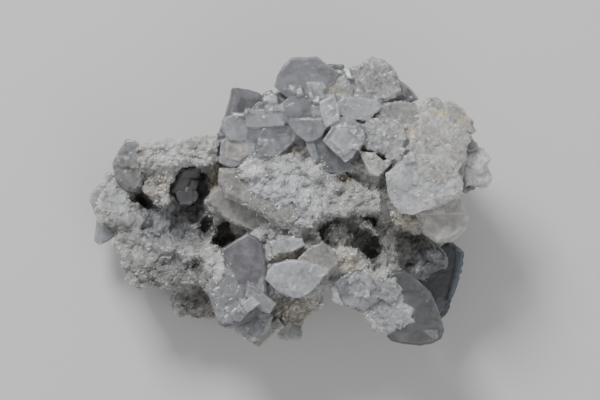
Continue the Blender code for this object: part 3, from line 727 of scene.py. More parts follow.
@dataclass
class CalciteMatrix:
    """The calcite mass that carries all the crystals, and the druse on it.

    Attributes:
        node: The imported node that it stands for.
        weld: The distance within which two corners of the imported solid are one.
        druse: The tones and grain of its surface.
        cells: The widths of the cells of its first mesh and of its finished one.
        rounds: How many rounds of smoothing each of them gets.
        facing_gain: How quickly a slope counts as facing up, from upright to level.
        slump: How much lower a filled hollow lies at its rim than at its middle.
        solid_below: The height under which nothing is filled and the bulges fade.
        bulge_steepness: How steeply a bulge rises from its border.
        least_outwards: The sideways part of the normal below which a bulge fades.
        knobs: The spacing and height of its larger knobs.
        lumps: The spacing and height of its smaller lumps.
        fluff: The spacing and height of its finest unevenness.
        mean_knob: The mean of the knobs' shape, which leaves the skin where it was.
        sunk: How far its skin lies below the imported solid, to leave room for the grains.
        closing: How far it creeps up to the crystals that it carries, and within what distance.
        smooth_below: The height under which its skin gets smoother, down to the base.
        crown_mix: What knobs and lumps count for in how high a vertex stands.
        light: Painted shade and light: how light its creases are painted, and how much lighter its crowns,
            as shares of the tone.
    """

    node: str = "calcite_matrix"
    weld: float = 0.002
    druse: DruseField = DruseField()
    cells: tuple[float, float] = (0.8, 0.6)
    rounds: tuple[int, int] = (3, 4)
    facing_gain: float = 1.6
    slump: float = 4.0
    solid_below: float = 8.0
    bulge_steepness: float = 2.0
    least_outwards: float = 0.3
    knobs: tuple[float, float] = (5.0, 1.5)
    lumps: tuple[float, float] = (1.9, 0.9)
    fluff: tuple[float, float] = (1.0, 0.45)
    mean_knob: float = 0.62
    sunk: float = 0.5
    closing: tuple[float, float] = (1.2, 1.2)
    smooth_below: float = 1.5
    crown_mix: tuple[float, float] = (0.45, 0.55)
    light: tuple[float, float] = (0.42, 0.33)

    def solid(self) -> bpy.types.Mesh:
        """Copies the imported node's mesh with its loose triangles joined.

        Returns:
            The copy.
        """
        bm = bmesh.new()
        bm.from_mesh(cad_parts[self.node].data)
        bmesh.ops.remove_doubles(bm, verts=bm.verts, dist=self.weld * MM)
        return mesh_of(bm, self.node)

    def sculpt(self, mesh: bpy.types.Mesh) -> None:
        """Raises the lumps, sinks the pits, swells the walls and fills the hollows.

        Args:
            mesh: The mass's mesh.
        """
        points, normals = coordinates(mesh), vertex_normals(mesh)
        facing = np.clip(normals[:, 2] * self.facing_gain, 0, 1)
        for dent in DRUSE_DENTS:
            share = inside_share(points, dent)
            points[:, 2] += dent.height * np.sqrt(1 - (1 - share) ** 2) * facing
        outwards = normals[:, :2]
        outwards /= np.maximum(np.linalg.norm(outwards, axis=1), self.least_outwards)[:, None]
        for bulge in DRUSE_BULGES:
            share = eased(np.minimum(inside_share(points, bulge) * self.bulge_steepness, 1))
            push = bulge.height * share * (1 - facing)
            points[:, :2] += outwards * (push * np.clip(points[:, 2] / self.solid_below, 0, 1))[:, None]
        for fill in DRUSE_FILLS:
            share = inside_share(points, fill)
            surface = fill.height - self.slump * (1 - share) ** 2
            fillable = (share > 0) & (points[:, 2] > self.solid_below) & (facing > 0)
            low = fillable & (points[:, 2] < surface)
            points[low, 2] = surface[low]
        move_to(mesh, points)

    def roughen(self, mesh: bpy.types.Mesh) -> np.ndarray:
        """Gives the mass its knobs and lumps.

        Args:
            mesh: The mass's mesh.

        Returns:
            How high each vertex stands on its knob, from 0 in a crease to 1 on a crown.
        """
        points, normals = coordinates(mesh), vertex_normals(mesh)
        far_off = 31.7
        coarse = knobs_at(points, self.knobs[0])
        fine = knobs_at(points + far_off, self.lumps[0])
        clear_of_base = np.clip(points[:, 2] / self.smooth_below, 0, 1)
        fluff = noise_at(points, self.fluff[0])
        gaps = gaps_to(surface_of(*(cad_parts[node].data for node in GROUPS)), points)
        closing = np.exp(-((gaps / self.closing[1]) ** 2)) * self.closing[0]
        rise = (coarse - self.mean_knob) * self.knobs[1] + (fine - self.mean_knob) * self.lumps[1]
        rise = rise + fluff * self.fluff[1] - self.sunk + closing
        points += normals * (rise * clear_of_base)[:, None]
        points[:, 2] = np.maximum(points[:, 2], 0)
        move_to(mesh, points)
        return self.crown_mix[0] * coarse + self.crown_mix[1] * fine

    def build(self, material: bpy.types.Material) -> tuple[bpy.types.Object, np.ndarray]:
        """Builds the mass.

        Args:
            material: The drusy calcite.

        Returns:
            The piece, and how high each of its vertices stands on its knob.
        """
        mesh = reshaped(self.solid(), self.cells[0], self.rounds[0])
        self.sculpt(mesh)
        mesh = reshaped(mesh, self.cells[1], self.rounds[1])
        crown = self.roughen(mesh)
        # Painted shade in the creases between the knobs and painted light on their crowns, over the druse's
        # tones.
        paint(mesh, self.druse.tone(coordinates(mesh)) * (self.light[0] + self.light[1] * crown)[:, None])
        piece = add_piece("calcite_mass", mesh, material)
        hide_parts(self.node)
        log.info("%s: %d faces", piece.name, len(mesh.polygons))
        return piece, crown


def grain_template(form: GrainForm) -> tuple[np.ndarray, list[tuple[int, ...]]]:
    """Makes one grain of unit size, its axis along +Z.

    Args:
        form: The grain's shape.

    Returns:
        Its vertices, one a row, and its faces as vertex indices.
    """
    bm = bmesh.new()
    if form is GrainForm.RHOMB:
        edge, stretch = 0.8, 1.15
        bmesh.ops.create_cube(bm, size=edge)
        on_corner = Vector((1, 1, 1)).rotation_difference(Vector((0, 0, 1))).to_matrix()
        bmesh.ops.rotate(bm, cent=(0, 0, 0), matrix=on_corner, verts=bm.verts)
        bmesh.ops.scale(bm, vec=(1, 1, stretch), verts=bm.verts)
    else:
        foot, length = 0.55, 1.3
        bmesh.ops.create_cone(bm, cap_ends=True, segments=3, radius1=foot, radius2=0, depth=length)
    vertices = np.array([v.co for v in bm.verts])
    faces = [tuple(v.index for v in face.verts) for face in bm.faces]
    bm.free()
    return vertices, faces


@dataclass
class Scatter:
    """Places for grains, one row a grain.

    Attributes:
        points: Where it stands in millimetres.
        normals: The surface's normal there.
        sizes: Its size in millimetres.
        tones: Its linear colour.
        leans: How far it leans from the normal along each axis.
        spins: The direction that it is turned to.
        lots: The number from 0 to 1 that settles its form.
    """

    points: np.ndarray
    normals: np.ndarray
    sizes: np.ndarray
    tones: np.ndarray
    leans: np.ndarray
    spins: np.ndarray
    lots: np.ndarray

    def chosen(self, mask: np.ndarray) -> "Scatter":
        """Keeps the grains that the mask picks."""
        return Scatter(*(getattr(self, column.name)[mask] for column in fields(self)))


@dataclass
class DruseCoat:
    """The grains that cover the calcite mass and creep over the crystals' edges.

    Attributes:
        druse: The tones and grain of the calcite.
        grain: The usual size of a grain.
        spread: How widely the sizes vary, as the sigma of their logarithm.
        per_mm2: How many grains stand on a square millimetre of druse.
        variety: How much lighter or darker than its neighbours a grain may be, as a share.
        pile: The thickness of the layer of grains.
        pile_bias: The power that crowds the grains towards the top of the layer.
        tilt: How far a grain may lean from the surface's normal, as two sigmas, in degrees.
        rhomb_share: The share of rhombs among the grains.
        clumps: The width of the clumps, the mean density and how much the clumps change it.
        clump_range: The thinnest and the densest cover that the clumps may give.
        side_above: The upward part of the normal from which a face isn't a side.
        side_cover: The density on sides, as a share of that on the display face.
        side_grain: The size of the grains on sides, as a share of the others.
        bare_below: The height under which nothing grows.
        bare_under: The upward part of the normal under which nothing grows.
        crown_light: Painted shade and light: how light a grain in a crease is painted, and how much lighter
            one on a crown.
        pile_light: Painted shade: how light a grain on top of the layer is painted, and how much darker one
            under it.
        mottle: The width of the mottles of light and dark, and their strength.
        host_share: The share of its carrier's tone that a grain takes on.
    """

    druse: DruseField = DruseField()
    grain: float = 0.36
    spread: float = 0.36
    per_mm2: float = 6.8
    variety: float = 0.1
    pile: float = 0.4
    pile_bias: float = 1.6
    tilt: float = 48.0
    rhomb_share: float = 0.4
    clumps: tuple[float, float, float] = (1.6, 0.85, 1.6)
    clump_range: tuple[float, float] = (0.1, 1.5)
    side_above: float = 0.05
    side_cover: float = 0.36
    side_grain: float = 1.35
    bare_below: float = 0.8
    bare_under: float = -0.9
    crown_light: tuple[float, float] = (0.72, 0.35)
    pile_light: tuple[float, float] = (1.06, 0.42)
    mottle: tuple[float, float] = (2.8, 0.5)
    host_share: float = 0.3

    def weights(
        self, middle: np.ndarray, area: np.ndarray, facing: np.ndarray, cover: np.ndarray
    ) -> np.ndarray:
        """Finds how many grains each triangle of a mesh draws.

        Args:
            middle: The triangles' middles in millimetres, one a row.
            area: Their areas in square millimetres.
            facing: The upward part of their normals.
            cover: How thickly the grains stand on them.

        Returns:
            The weight of each triangle.
        """
        width, mean, change = self.clumps
        density = np.clip(mean + change * noise_at(middle, width), *self.clump_range)
        grown = (middle[:, 2] > self.bare_below) & (facing > self.bare_under)
        on_sides = np.where(facing > self.side_above, 1.0, self.side_cover)
        return area * self.druse.factor(middle, "cover") * cover * density * on_sides * grown

    def sample(
        self, mesh: bpy.types.Mesh, crown: np.ndarray, cover: np.ndarray, rng: np.random.Generator,
        host: np.ndarray | None = None,
    ) -> Scatter:
        """Picks places on a mesh at random, denser where the regions say so.

        Args:
            mesh: The surface that carries the grains.
            crown: How high each vertex stands on its knob.
            cover: How thickly the grains stand at each vertex.
            rng: The source of random numbers.
            host: The carrier's own tone at each vertex, which the grains partly take on.

        Returns:
            The places.
        """
        mesh.calc_loop_triangles()
        corners = np.empty(len(mesh.loop_triangles) * 3, np.int32)
        mesh.loop_triangles.foreach_get("vertices", corners)
        corners = corners.reshape(-1, 3)
        points, normals = coordinates(mesh), vertex_normals(mesh)
        a, b, c = (points[corners[:, i]] for i in range(3))
        cross = np.cross(b - a, c - a)
        area = np.linalg.norm(cross, axis=1) / 2
        facing = cross[:, 2] / np.maximum(2 * area, 1e-9)
        weight = self.weights((a + b + c) / 3, area, facing, cover[corners].mean(1))
        count = int(weight.sum() * self.per_mm2)
        picked = rng.choice(len(weight), count, p=weight / weight.sum())
        u, v = rng.random((2, count))
        fold = u + v > 1
        u[fold], v[fold] = 1 - u[fold], 1 - v[fold]
        share = np.stack((1 - u - v, u, v), 1)[:, :, None]
        at = (points[corners[picked]] * share).sum(1)
        up = (normals[corners[picked]] * share).sum(1)
        height = (crown[corners[picked]] * share[:, :, 0]).sum(1)
        side = np.where(facing[picked] > self.side_above, 1.0, self.side_grain)
        sizes = self.grain * self.druse.factor(at, "grain") * side
        sizes *= np.exp(rng.normal(0, self.spread, count))
        depth = rng.random(count) ** self.pile_bias
        at = at - up * (depth * self.pile)[:, None]
        # Painted shade: grains in the creases of the knobs and deep in the pile are darker, those on the
        # crowns lighter; the mottle and the variety are random tone.
        shade = self.crown_light[0] + self.crown_light[1] * height
        shade *= self.pile_light[0] - self.pile_light[1] * depth
        shade *= 1 + self.mottle[1] * noise_at(at, self.mottle[0])
        shade *= rng.uniform(1 - self.variety, 1 + self.variety, count)
        tones = self.druse.tone(at)
        if host is not None:
            carried = (host[corners[picked]] * share).sum(1)
            tones = (1 - self.host_share) * tones + self.host_share * carried
        leans = rng.normal(0, math.tan(math.radians(self.tilt)) / 2, (count, 3))
        spins = rng.normal(size=(count, 3))
        return Scatter(at, up, sizes, tones * shade[:, None], leans, spins, rng.random(count))

    def grow(self, name: str, spots: Scatter, form: GrainForm) -> bpy.types.Mesh:
        """Joins one grain at each place into a single mesh.

        Args:
            name: The mesh's name.
            spots: The places.
            form: The grains' shape.

        Returns:
            The mesh, with the tone of each grain painted on it.
        """
        template, faces = grain_template(form)
        count, corners = len(spots.points), len(template)
        lean = spots.normals + spots.leans
        axis = lean / np.linalg.norm(lean, axis=1)[:, None]
        side = np.cross(axis, spots.spins)
        side /= np.linalg.norm(side, axis=1)[:, None]
        basis = np.stack((side, np.cross(axis, side), axis), 1) * spots.sizes[:, None, None]
        vertices = np.einsum("vi,nij->nvj", template, basis) + spots.points[:, None, :]
        vertices[:, :, 2] = np.maximum(vertices[:, :, 2], 0)
        mesh = bpy.data.meshes.new(name)
        mesh.vertices.add(count * corners)
        mesh.vertices.foreach_set("co", (vertices * MM).astype(np.float32).ravel())
        pattern = np.array([i for face in faces for i in face])
        loops = (pattern[None, :] + np.arange(count)[:, None] * corners).ravel()
        lengths = np.array([len(face) for face in faces])
        starts = np.concatenate(([0], np.cumsum(np.tile(lengths, count))[:-1]))
        mesh.loops.add(len(loops))
        mesh.loops.foreach_set("vertex_index", loops.astype(np.int32))
        mesh.polygons.add(len(starts))
        mesh.polygons.foreach_set("loop_start", starts.astype(np.int32))
        mesh.update(calc_edges=True)
        mesh.shade_flat()
        paint(mesh, np.repeat(spots.tones, corners, axis=0))
        return mesh

    def build(
        self, spots: Scatter, names: tuple[str, ...], edges: tuple[float, ...], material: bpy.types.Material
    ) -> None:
        """Grows grains at the places, in bands from left to right.

        Args:
            spots: The places.
            names: The bands' names.
            edges: The bands' borders along X.
            material: The drusy calcite.
        """
        for name, low, high in zip(names, edges, edges[1:]):
            band = spots.chosen((spots.points[:, 0] >= low) & (spots.points[:, 0] < high))
            rhombs = band.lots < self.rhomb_share
            for form, mask in ((GrainForm.RHOMB, rhombs), (GrainForm.POINT, ~rhombs)):
                piece_name = f"druse_{name}_{form.value}s"
                mesh = self.grow(piece_name, band.chosen(mask), form)
                add_piece(piece_name, mesh, material)
                log.info("%s: %d grains", piece_name, mask.sum())


class Look(Enum):
    """How a crystal looks: its sRGB tone, clearness, cover of sugar and relief."""

    MILKY = ("#BABCC1", 0.60, 0.10, 0.10)
    GREY = ("#A6A8AD", 0.70, 0.06, 0.08)
    DARK = ("#7D7E81", 0.70, 0.04, 0.06)
    BROWNISH = ("#8C877F", 0.60, 0.04, 0.06)
    BEIGE = ("#C6C4C0", 0.50, 0.16, 0.10)
    DUSTED = ("#BDBCBA", 0.50, 0.50, 0.10)
    WHITE = ("#CCCED2", 0.45, 0.20, 0.12)
    HOARY = ("#ABACB0", 0.50, 0.26, 0.14)
    PALE = ("#E6E5E2", 0.45, 0.08, 0.08)
    FROSTED = ("#C3C4C6", 0.45, 0.75, 0.20)
    CREAM = ("#D6D5D1", 0.45, 0.35, 0.22)
    BLUE_WHITE = ("#E3E5E8", 0.50, 0.60, 0.18)
    LILAC = ("#939299", 0.60, 0.03, 0.03)
    CLEAR = ("#DADDE0", 0.92, 0.00, 0.06)
    SMOKY = ("#444B52", 0.35, 0.00, 0.00)
    SLATE = ("#6A737B", 0.35, 0.00, 0.05)
    SUGARY = ("#F8F8F7", 0.15, 1.00, 0.25)

    def __init__(self, tone: str, clearness: float, frost: float, relief: float) -> None:
        """Keeps the four parts of a look.

        Args:
            tone: Its sRGB tone, kept as its linear colour.
            clearness: The share of light that it lets through.
            frost: Its cover of sugar, as a share.
            relief: The height of the fine relief on its faces in millimetres.
        """
        self.tone = linear(tone)
        self.clearness = clearness
        self.frost = frost
        self.relief = relief


@dataclass(frozen=True)
class Plate:
    """A tabular crystal.

    Attributes:
        outline: Its corners in plan.
        height: The height of its top face at the middle of the outline.
        look: How it looks.
        lean: How much the top face rises for each millimetre along X and Y.
        thickness: Its thickness.
        rim: The width of the bevel along the edges of its faces.
        ragged: How far its outline wanders from straight edges.
    """

    outline: tuple[tuple[float, float], ...]
    height: float
    look: Look
    lean: tuple[float, float]
    thickness: float
    rim: float = 0.25
    ragged: float = 0.03


# The lean of a face that mirrors the key light into the camera.
TO_LIGHT = (0.186, -0.396)

# The crystals of each group, as a rule with the large one that carries the others first.
TOP_CLUSTER = (
    Plate(((-20.5, 13), (-19.6, 20), (-9, 29.5), (2, 31), (14, 32), (28, 32), (36, 27), (34, 20), (27, 9),
           (17, 9), (9, 11), (0, 15), (-9, 12.5)), 36.4, Look.GREY, (0, 0.05), 9),
    Plate(((-4.8, 34.6), (-3.6, 38), (-2.3, 40), (-0.6, 41.7), (0.3, 42.5), (3.9, 42.3), (6.9, 42.6),
           (7.6, 42.3), (9.6, 40.8), (11.6, 39.5), (13.4, 38), (12.4, 36), (9.8, 33.4), (6, 31.4),
           (1.2, 30), (-2.4, 32.6)), 44.4, Look.GREY, (-0.05, 0.1), 5, 0.25, 0.1),
    Plate(((9.4, 33.6), (12.2, 36.4), (15.4, 37.8), (18, 34), (17.4, 30.8), (12, 29.2), (7.6, 30.6)), 43.4,
          Look.FROSTED, (0, 0), 5, 0.4, 0.3),
    Plate(((9, 39.6), (12, 38.2), (15.4, 37.6), (15, 41), (11.4, 41.2)), 36.5, Look.DARK, (0.1, 0), 4),
    Plate(((15.4, 39), (17.8, 39.8), (20.7, 40.7), (23.7, 42.9), (26.4, 42), (28.9, 40.6), (30.6, 37.8),
           (31.2, 35.4), (32.1, 33), (29.6, 31.6), (25.8, 30.4), (20.4, 30.6), (16, 32), (13.4, 34.5)),
          42.5, Look.FROSTED, (0.04, -0.08), 8, 0.7, 0.35),
    Plate(((20, 36), (24, 38.6), (28, 36), (28.6, 32.5), (23, 31.6)), 43.8, Look.FROSTED, (-0.05, 0.1), 5,
          0.4, 0.3),
    Plate(((29, 32), (30.4, 35), (32, 35.8), (33.4, 34.8), (35.2, 33), (36.6, 31), (33.6, 29.6),
           (29.6, 30)), 37.5, Look.DARK, (0.15, 0), 6, 0.4),
    Plate(((31.2, 32.6), (32.4, 35), (34, 34), (33.8, 31.6)), 39.4, Look.GREY, (0.2, 0.1), 4, 0.3),
    Plate(((26.4, 27.6), (27.9, 29.2), (32.4, 29.8), (37.2, 28.6), (37.4, 24), (32.4, 23.6), (27.9, 24.4)),
          43, Look.DUSTED, (0, 0.06), 7, 0.3, 0.12),
    Plate(((24.6, 27.6), (26.4, 29.4), (29.6, 28.8), (29.4, 26.4), (26, 26)), 42.6, Look.GREY, (0.1, 0.2),
          4, 0.3),
    Plate(((12.3, 28), (15.9, 31.2), (20, 31), (24.9, 30.3), (26.7, 28.5), (23.7, 26.1), (22.8, 24.6),
           (17.4, 25.2), (13.8, 27)), 45.4, Look.WHITE, (0, -0.06), 6, 0.35, 0.15),
    Plate(((8.6, 29.6), (12.4, 31.6), (13.8, 27.8), (13.8, 24.9), (10.2, 22.8), (8.7, 27)), 47, Look.WHITE,
          (0.06, -0.12), 6, 0.25),
    Plate(((-2.5, 29.4), (0, 31.4), (5.5, 31.2), (8.6, 29.6), (9.6, 24.6), (9, 23), (5, 22.6), (-1.6, 24)),
          43.4, Look.GREY, (0.03, 0.08), 7, 0.3),
    Plate(((-1.6, 24.6), (9.4, 24.6), (9.6, 22), (8.6, 19.8), (6, 18.4), (4.4, 18.2), (2, 20),
           (0.4, 21.6)), 43.0, Look.MILKY, (0.03, 0.16), 7, 0.3),
    Plate(((6, 28.4), (8.6, 28.5), (8.7, 25.9), (6.1, 25.8)), 44.3, Look.MILKY, (0.04, 0.1), 3, 0.2, 0.03),
    Plate(((-13.5, 27.3), (-7, 27.4), (-6.9, 22.9), (-10.6, 22.5), (-13.4, 22.8)), 41.8, Look.MILKY,
          (0, -0.04), 6, 0.25),
    Plate(((-7.6, 27.4), (-2.8, 27.5), (-2, 26.2), (-2.6, 23.2), (-7.6, 22.8)), 42.4, Look.MILKY,
          (0.02, -0.05), 6, 0.25),
    Plate(((-13.6, 22.6), (-2.7, 22.3), (-2.4, 18), (-7, 17.6), (-14, 18)), 39.6, Look.GREY, (0, 0.05), 6,
          0.2),
    Plate(((-5.9, 22.5), (-3.9, 22.4), (-4, 20.6), (-5.2, 20.2)), 40.4, Look.DARK, (0, 0.2), 3, 0.2),
    Plate(((-8.6, 21.5), (-3.6, 22.6), (-1.6, 22.6), (1.6, 20.1), (0, 18), (-2.1, 15.9), (-5.1, 14),
           (-8.1, 12.6), (-10.6, 12.2), (-10.4, 17)), 40, Look.GREY, (0, 0.12), 6, 0.3),
    Plate(((-9.8, 18.4), (-5.2, 18.2), (-5.4, 14), (-9.6, 13.6)), 40.3, Look.MILKY, (0, 0.1), 4, 0.2),
    Plate(((-20.7, 18.4), (-15.6, 18.8), (-12.4, 18.2), (-9.4, 18), (-9.4, 13), (-14, 11.8), (-18, 10.6),
           (-21.2, 12)), 38, Look.MILKY, (0, 0.06), 8, 0.35),
    Plate(((-19.4, 18.8), (-16, 19.2), (-13.6, 17.6), (-13.4, 14.4), (-16, 12.6), (-19.6, 13.6)), 39,
          Look.BEIGE, (0, 0.05), 5, 0.3),
    Plate(((-12.9, 18.3), (-8.8, 18.3), (-8.8, 13.5), (-12.9, 13.3)), 39.2, Look.MILKY, (0, 0.04), 5,
          0.25),
    Plate(((-20.3, 24.6), (-19.2, 25.2), (-16.8, 25.5), (-15, 24.9), (-13.8, 23.4), (-13.5, 21.3),
           (-14.1, 19.2), (-15.6, 18.6), (-18, 18.9), (-19.5, 20.1), (-20.2, 22.5)), 41, Look.MILKY,
          (-0.1, -0.04), 8, 0.5),
    Plate(((-17.4, 33.7), (-15.6, 33.7), (-12, 33), (-10.2, 32.4), (-8.6, 31.4), (-5, 30), (-5.2, 24.5),
           (-13.8, 20.8), (-18.6, 19.4), (-21.9, 19.2), (-20.4, 23.1), (-18.9, 27), (-17.8, 31)), 37.2,
          Look.LILAC, (-0.05, 0), 6, 1.2, 0.05),
    Plate(((-15.6, 31.2), (-9, 31), (-8.4, 27.6), (-13.2, 25.4), (-16.6, 25.4), (-16.6, 29)), 37.5,
          Look.DARK, (-0.05, 0), 5, 0.5),
    Plate(((-8.6, 30), (-8.4, 32.6), (-6.3, 33.4), (-4.5, 31.6), (-4.5, 29.7)), 41, Look.CLEAR,
          (0.05, -0.3), 5, 0.3),
    Plate(((-8.1, 29.2), (-5, 29.3), (-5, 27.2), (-7.9, 27.1)), 43.4, Look.CLEAR, (0.1, -0.3), 3, 0.4,
          0.15),
    Plate(((-5.2, 29.2), (-2.1, 29.3), (-2.3, 27.2), (-5.1, 27.2)), 43.6, Look.CLEAR, (-0.15, -0.2), 3,
          0.4, 0.15),
    Plate(((-4.7, 32.4), (-2.3, 32.5), (-0.3, 30.7), (-0.9, 29.4), (-4.6, 29.3)), 37, Look.BROWNISH,
          (0, 0.05), 6, 0.3),
    Plate(((14.1, 24.9), (9.6, 18.4), (15.9, 12.3), (18, 13.8), (21.6, 20.6), (20.3, 23), (16.9, 24.6)),
          47, Look.MILKY, (0.03, -0.1), 7, 0.15),
    Plate(((14.5, 22.6), (11.8, 18.6), (16.1, 14.7), (17.2, 15.6), (19.7, 20.4), (18.7, 21.9),
           (16.4, 22.7)), 47.7, Look.WHITE, (0.03, -0.1), 5, 0.15),
    Plate(((17.2, 21.6), (19.6, 22.6), (21.6, 19.8), (19.8, 16), (18, 16.6)), 48.1, Look.FROSTED,
          (0.1, -0.1), 4, 0.2, 0.25),
    Plate(((3.9, 18.6), (5.9, 19), (7.8, 13.3), (6.5, 12.1), (4.8, 15.4)), 41, Look.MILKY, (0.3, 0), 6,
          0.15),
    Plate(((6, 18.9), (10.2, 18.8), (16, 12.6), (18.6, 11), (14.6, 8.5), (9.9, 9.6), (7.2, 13)), 39.6,
          Look.GREY, (0, 0.12), 7, 0.3),
    Plate(((20.4, 15), (24.6, 14.4), (27, 12.4), (29.4, 12.6), (28.4, 10.8), (25.8, 8.1), (23.4, 8.8),
           (21.8, 12.2)), 45, Look.CREAM, (0, -0.05), 6, 0.3),
    Plate(((28, 13.6), (29.4, 12.4), (32.4, 14.1), (33.9, 15.6), (31, 16.6)), 45.4, Look.CREAM,
          (0.05, 0.05), 5, 0.3),
    Plate(((20.2, 20.4), (22.5, 24), (26, 24.4), (31.6, 24), (33.6, 19.4), (32.4, 16), (27, 14.6),
           (22.4, 16.6)), 45.4, Look.FROSTED, (0.02, 0.02), 7, 0.5, 0.3),
)

# Small clear faces in the top cluster that catch the light.
GLINTS = (
    Plate(((4.6, 34.8), (5.6, 34.6), (6.4, 31.6), (5.2, 31.4)), 46.4, Look.CLEAR, TO_LIGHT, 3, 0.1, 0),
    Plate(((6, 31.8), (8.3, 31.6), (7.8, 29.8), (6.2, 30)), 46, Look.CLEAR, TO_LIGHT, 3, 0.1, 0),
    Plate(((8.6, 35.2), (9.6, 34.8), (9, 33.4), (8.2, 34)), 46, Look.CLEAR, TO_LIGHT, 3, 0.1, 0),
    Plate(((1, 33.6), (2.8, 34.2), (3.2, 32.6), (1.6, 31.8)), 45.4, Look.CLEAR, (0.1, -0.3), 3, 0.1, 0),
    Plate(((-0.8, 35), (0.9, 34.4), (0.2, 33), (-1.2, 33.8)), 44.8, Look.CLEAR, (0.25, -0.42), 3, 0.1, 0),
    Plate(((12.9, 39.6), (14.7, 39.5), (14.9, 38.4), (13, 38.5)), 43.5, Look.CLEAR, TO_LIGHT, 3, 0.1, 0),
    Plate(((15.2, 39.8), (17.2, 39.9), (18, 36.9), (16.4, 37.2)), 44.4, Look.CLEAR, TO_LIGHT, 3, 0.1, 0),
    Plate(((4.6, 35.4), (9, 35.6), (9.4, 31), (5.2, 30.4)), 44.9, Look.CLEAR, (0, -0.06), 3, 0.4, 0),
    Plate(((-18, 26.9), (-14.6, 26.6), (-14.2, 25.6), (-17.4, 25.7)), 41.5, Look.CLEAR, TO_LIGHT, 2, 0.1,
          0),
)

RIGHT_CLUSTER = (
    Plate(((32, 13), (36, 24), (38, 28), (43, 30.4), (50, 27), (53, 21), (51, 11), (50, 3), (44, -0.6),
           (36, -3), (30, 3)), 43, Look.CREAM, (0, 0), 9, 0.4, 0.3),
    Plate(((37.8, 28.2), (39.4, 29.4), (40.8, 30.6), (43.6, 30.6), (44.4, 29.2), (47.1, 29.3),
           (49.4, 28.2), (50.8, 27), (51.2, 25.4), (53.2, 24.4), (53.2, 22.6), (54, 21.5), (52.2, 20.6),
           (53.1, 19.4), (51.6, 17), (51.4, 13), (49.2, 10.8), (44, 8.8), (37, 9.4), (34.6, 12),
           (35.6, 18.6), (36.4, 23)), 45.2, Look.CREAM, (0.01, -0.02), 8, 0.5, 0.4),
    Plate(((38.4, 26), (43, 27.4), (47.4, 24.4), (48.4, 18.6), (44, 13.6), (39.4, 14.4), (37.8, 20)), 45.9,
          Look.CREAM, (0.01, -0.02), 5, 0.5, 0.35),
    Plate(((48.6, 19.4), (52.2, 19.8), (54.9, 17.6), (55.4, 15.8), (52.6, 15.2), (48.8, 15.8)), 41,
          Look.GREY, (0, 0), 6, 0.3, 0.1),
    Plate(((28.5, 8.1), (34.8, 12.9), (41, 13.8), (47.4, 12.9), (50.7, 5.1), (49.8, 1.5), (36.3, -3.3),
           (32.4, -3), (29.4, 1.5)), 45.6, Look.BLUE_WHITE, (0, 0.03), 8, 0.25, 0.08),
    Plate(((35.6, 12.6), (37.4, 17), (42, 18), (47, 16.4), (50.4, 12), (48.6, 8.6), (44, 6), (38.6, 8.4)),
          46.5, Look.CREAM, (0, 0), 6, 0.4, 0.5),
    Plate(((34.8, 12.4), (29.2, 8), (30.2, 3.4), (32.4, 2.2), (36.4, 5.8)), 46, Look.WHITE, (0, 0.03), 5,
          0.15),
    Plate(((37.4, -3), (49.6, 1.6), (50.4, 3.6), (37, -0.6)), 45.4, Look.CREAM, (0, 0.3), 5, 0.2),
)

# Painted light: the wedge's pale look is lighter than the crystal's own tone, lifting it out of the shade
# of the cluster above; the small pale plate, tilted to mirror the key light, stands in for a glint.
WEDGE = (
    Plate(((37.4, -3.8), (44, -1), (49.9, 1.7), (51.4, -3.2), (50.2, -3.4), (43, -3.6)), 39.6, Look.PALE,
          (0.05, -0.22), 7, 0.2),
    Plate(((42.2, -1.6), (45.2, -1.3), (45.4, -2.8), (42.6, -2.9)), 40, Look.PALE, TO_LIGHT, 2, 0.1, 0.2),
    Plate(((36.8, -6.2), (38.2, -3.4), (44, -3), (50.4, -3), (52.4, -4.8), (51.5, -8), (49.6, -9.8),
           (47.4, -11.3), (43.5, -11.7), (39.6, -9)), 36.6, Look.PALE, (0.04, -0.04), 8, 1.2, 0.1),
)

SMOKY_SHEET = (
    Plate(((43, -12.5), (47.4, -12.5), (50.4, -14.5), (51.8, -16), (50.9, -21), (49.6, -25), (48.3, -29.4),
           (47.2, -33), (44.2, -36.3), (41, -31), (37.6, -24), (37, -16)), 19, Look.SMOKY, (-0.05, 0.05),
          5, 1.3, 0.15),
    Plate(((49.4, -14.6), (51.6, -16), (50.8, -21), (49.5, -25), (48.2, -29.2), (46.9, -28.8), (48, -24.6),
           (49, -20.6)), 19.1, Look.SLATE, (-0.05, 0.05), 3, 0.4, 0.1),
    Plate(((43.6, -28.4), (46, -27.6), (46.4, -31), (44.6, -34), (43, -31.6)), 18.4, Look.SLATE,
          (-0.05, 0.05), 3, 0.4, 0.4),
)

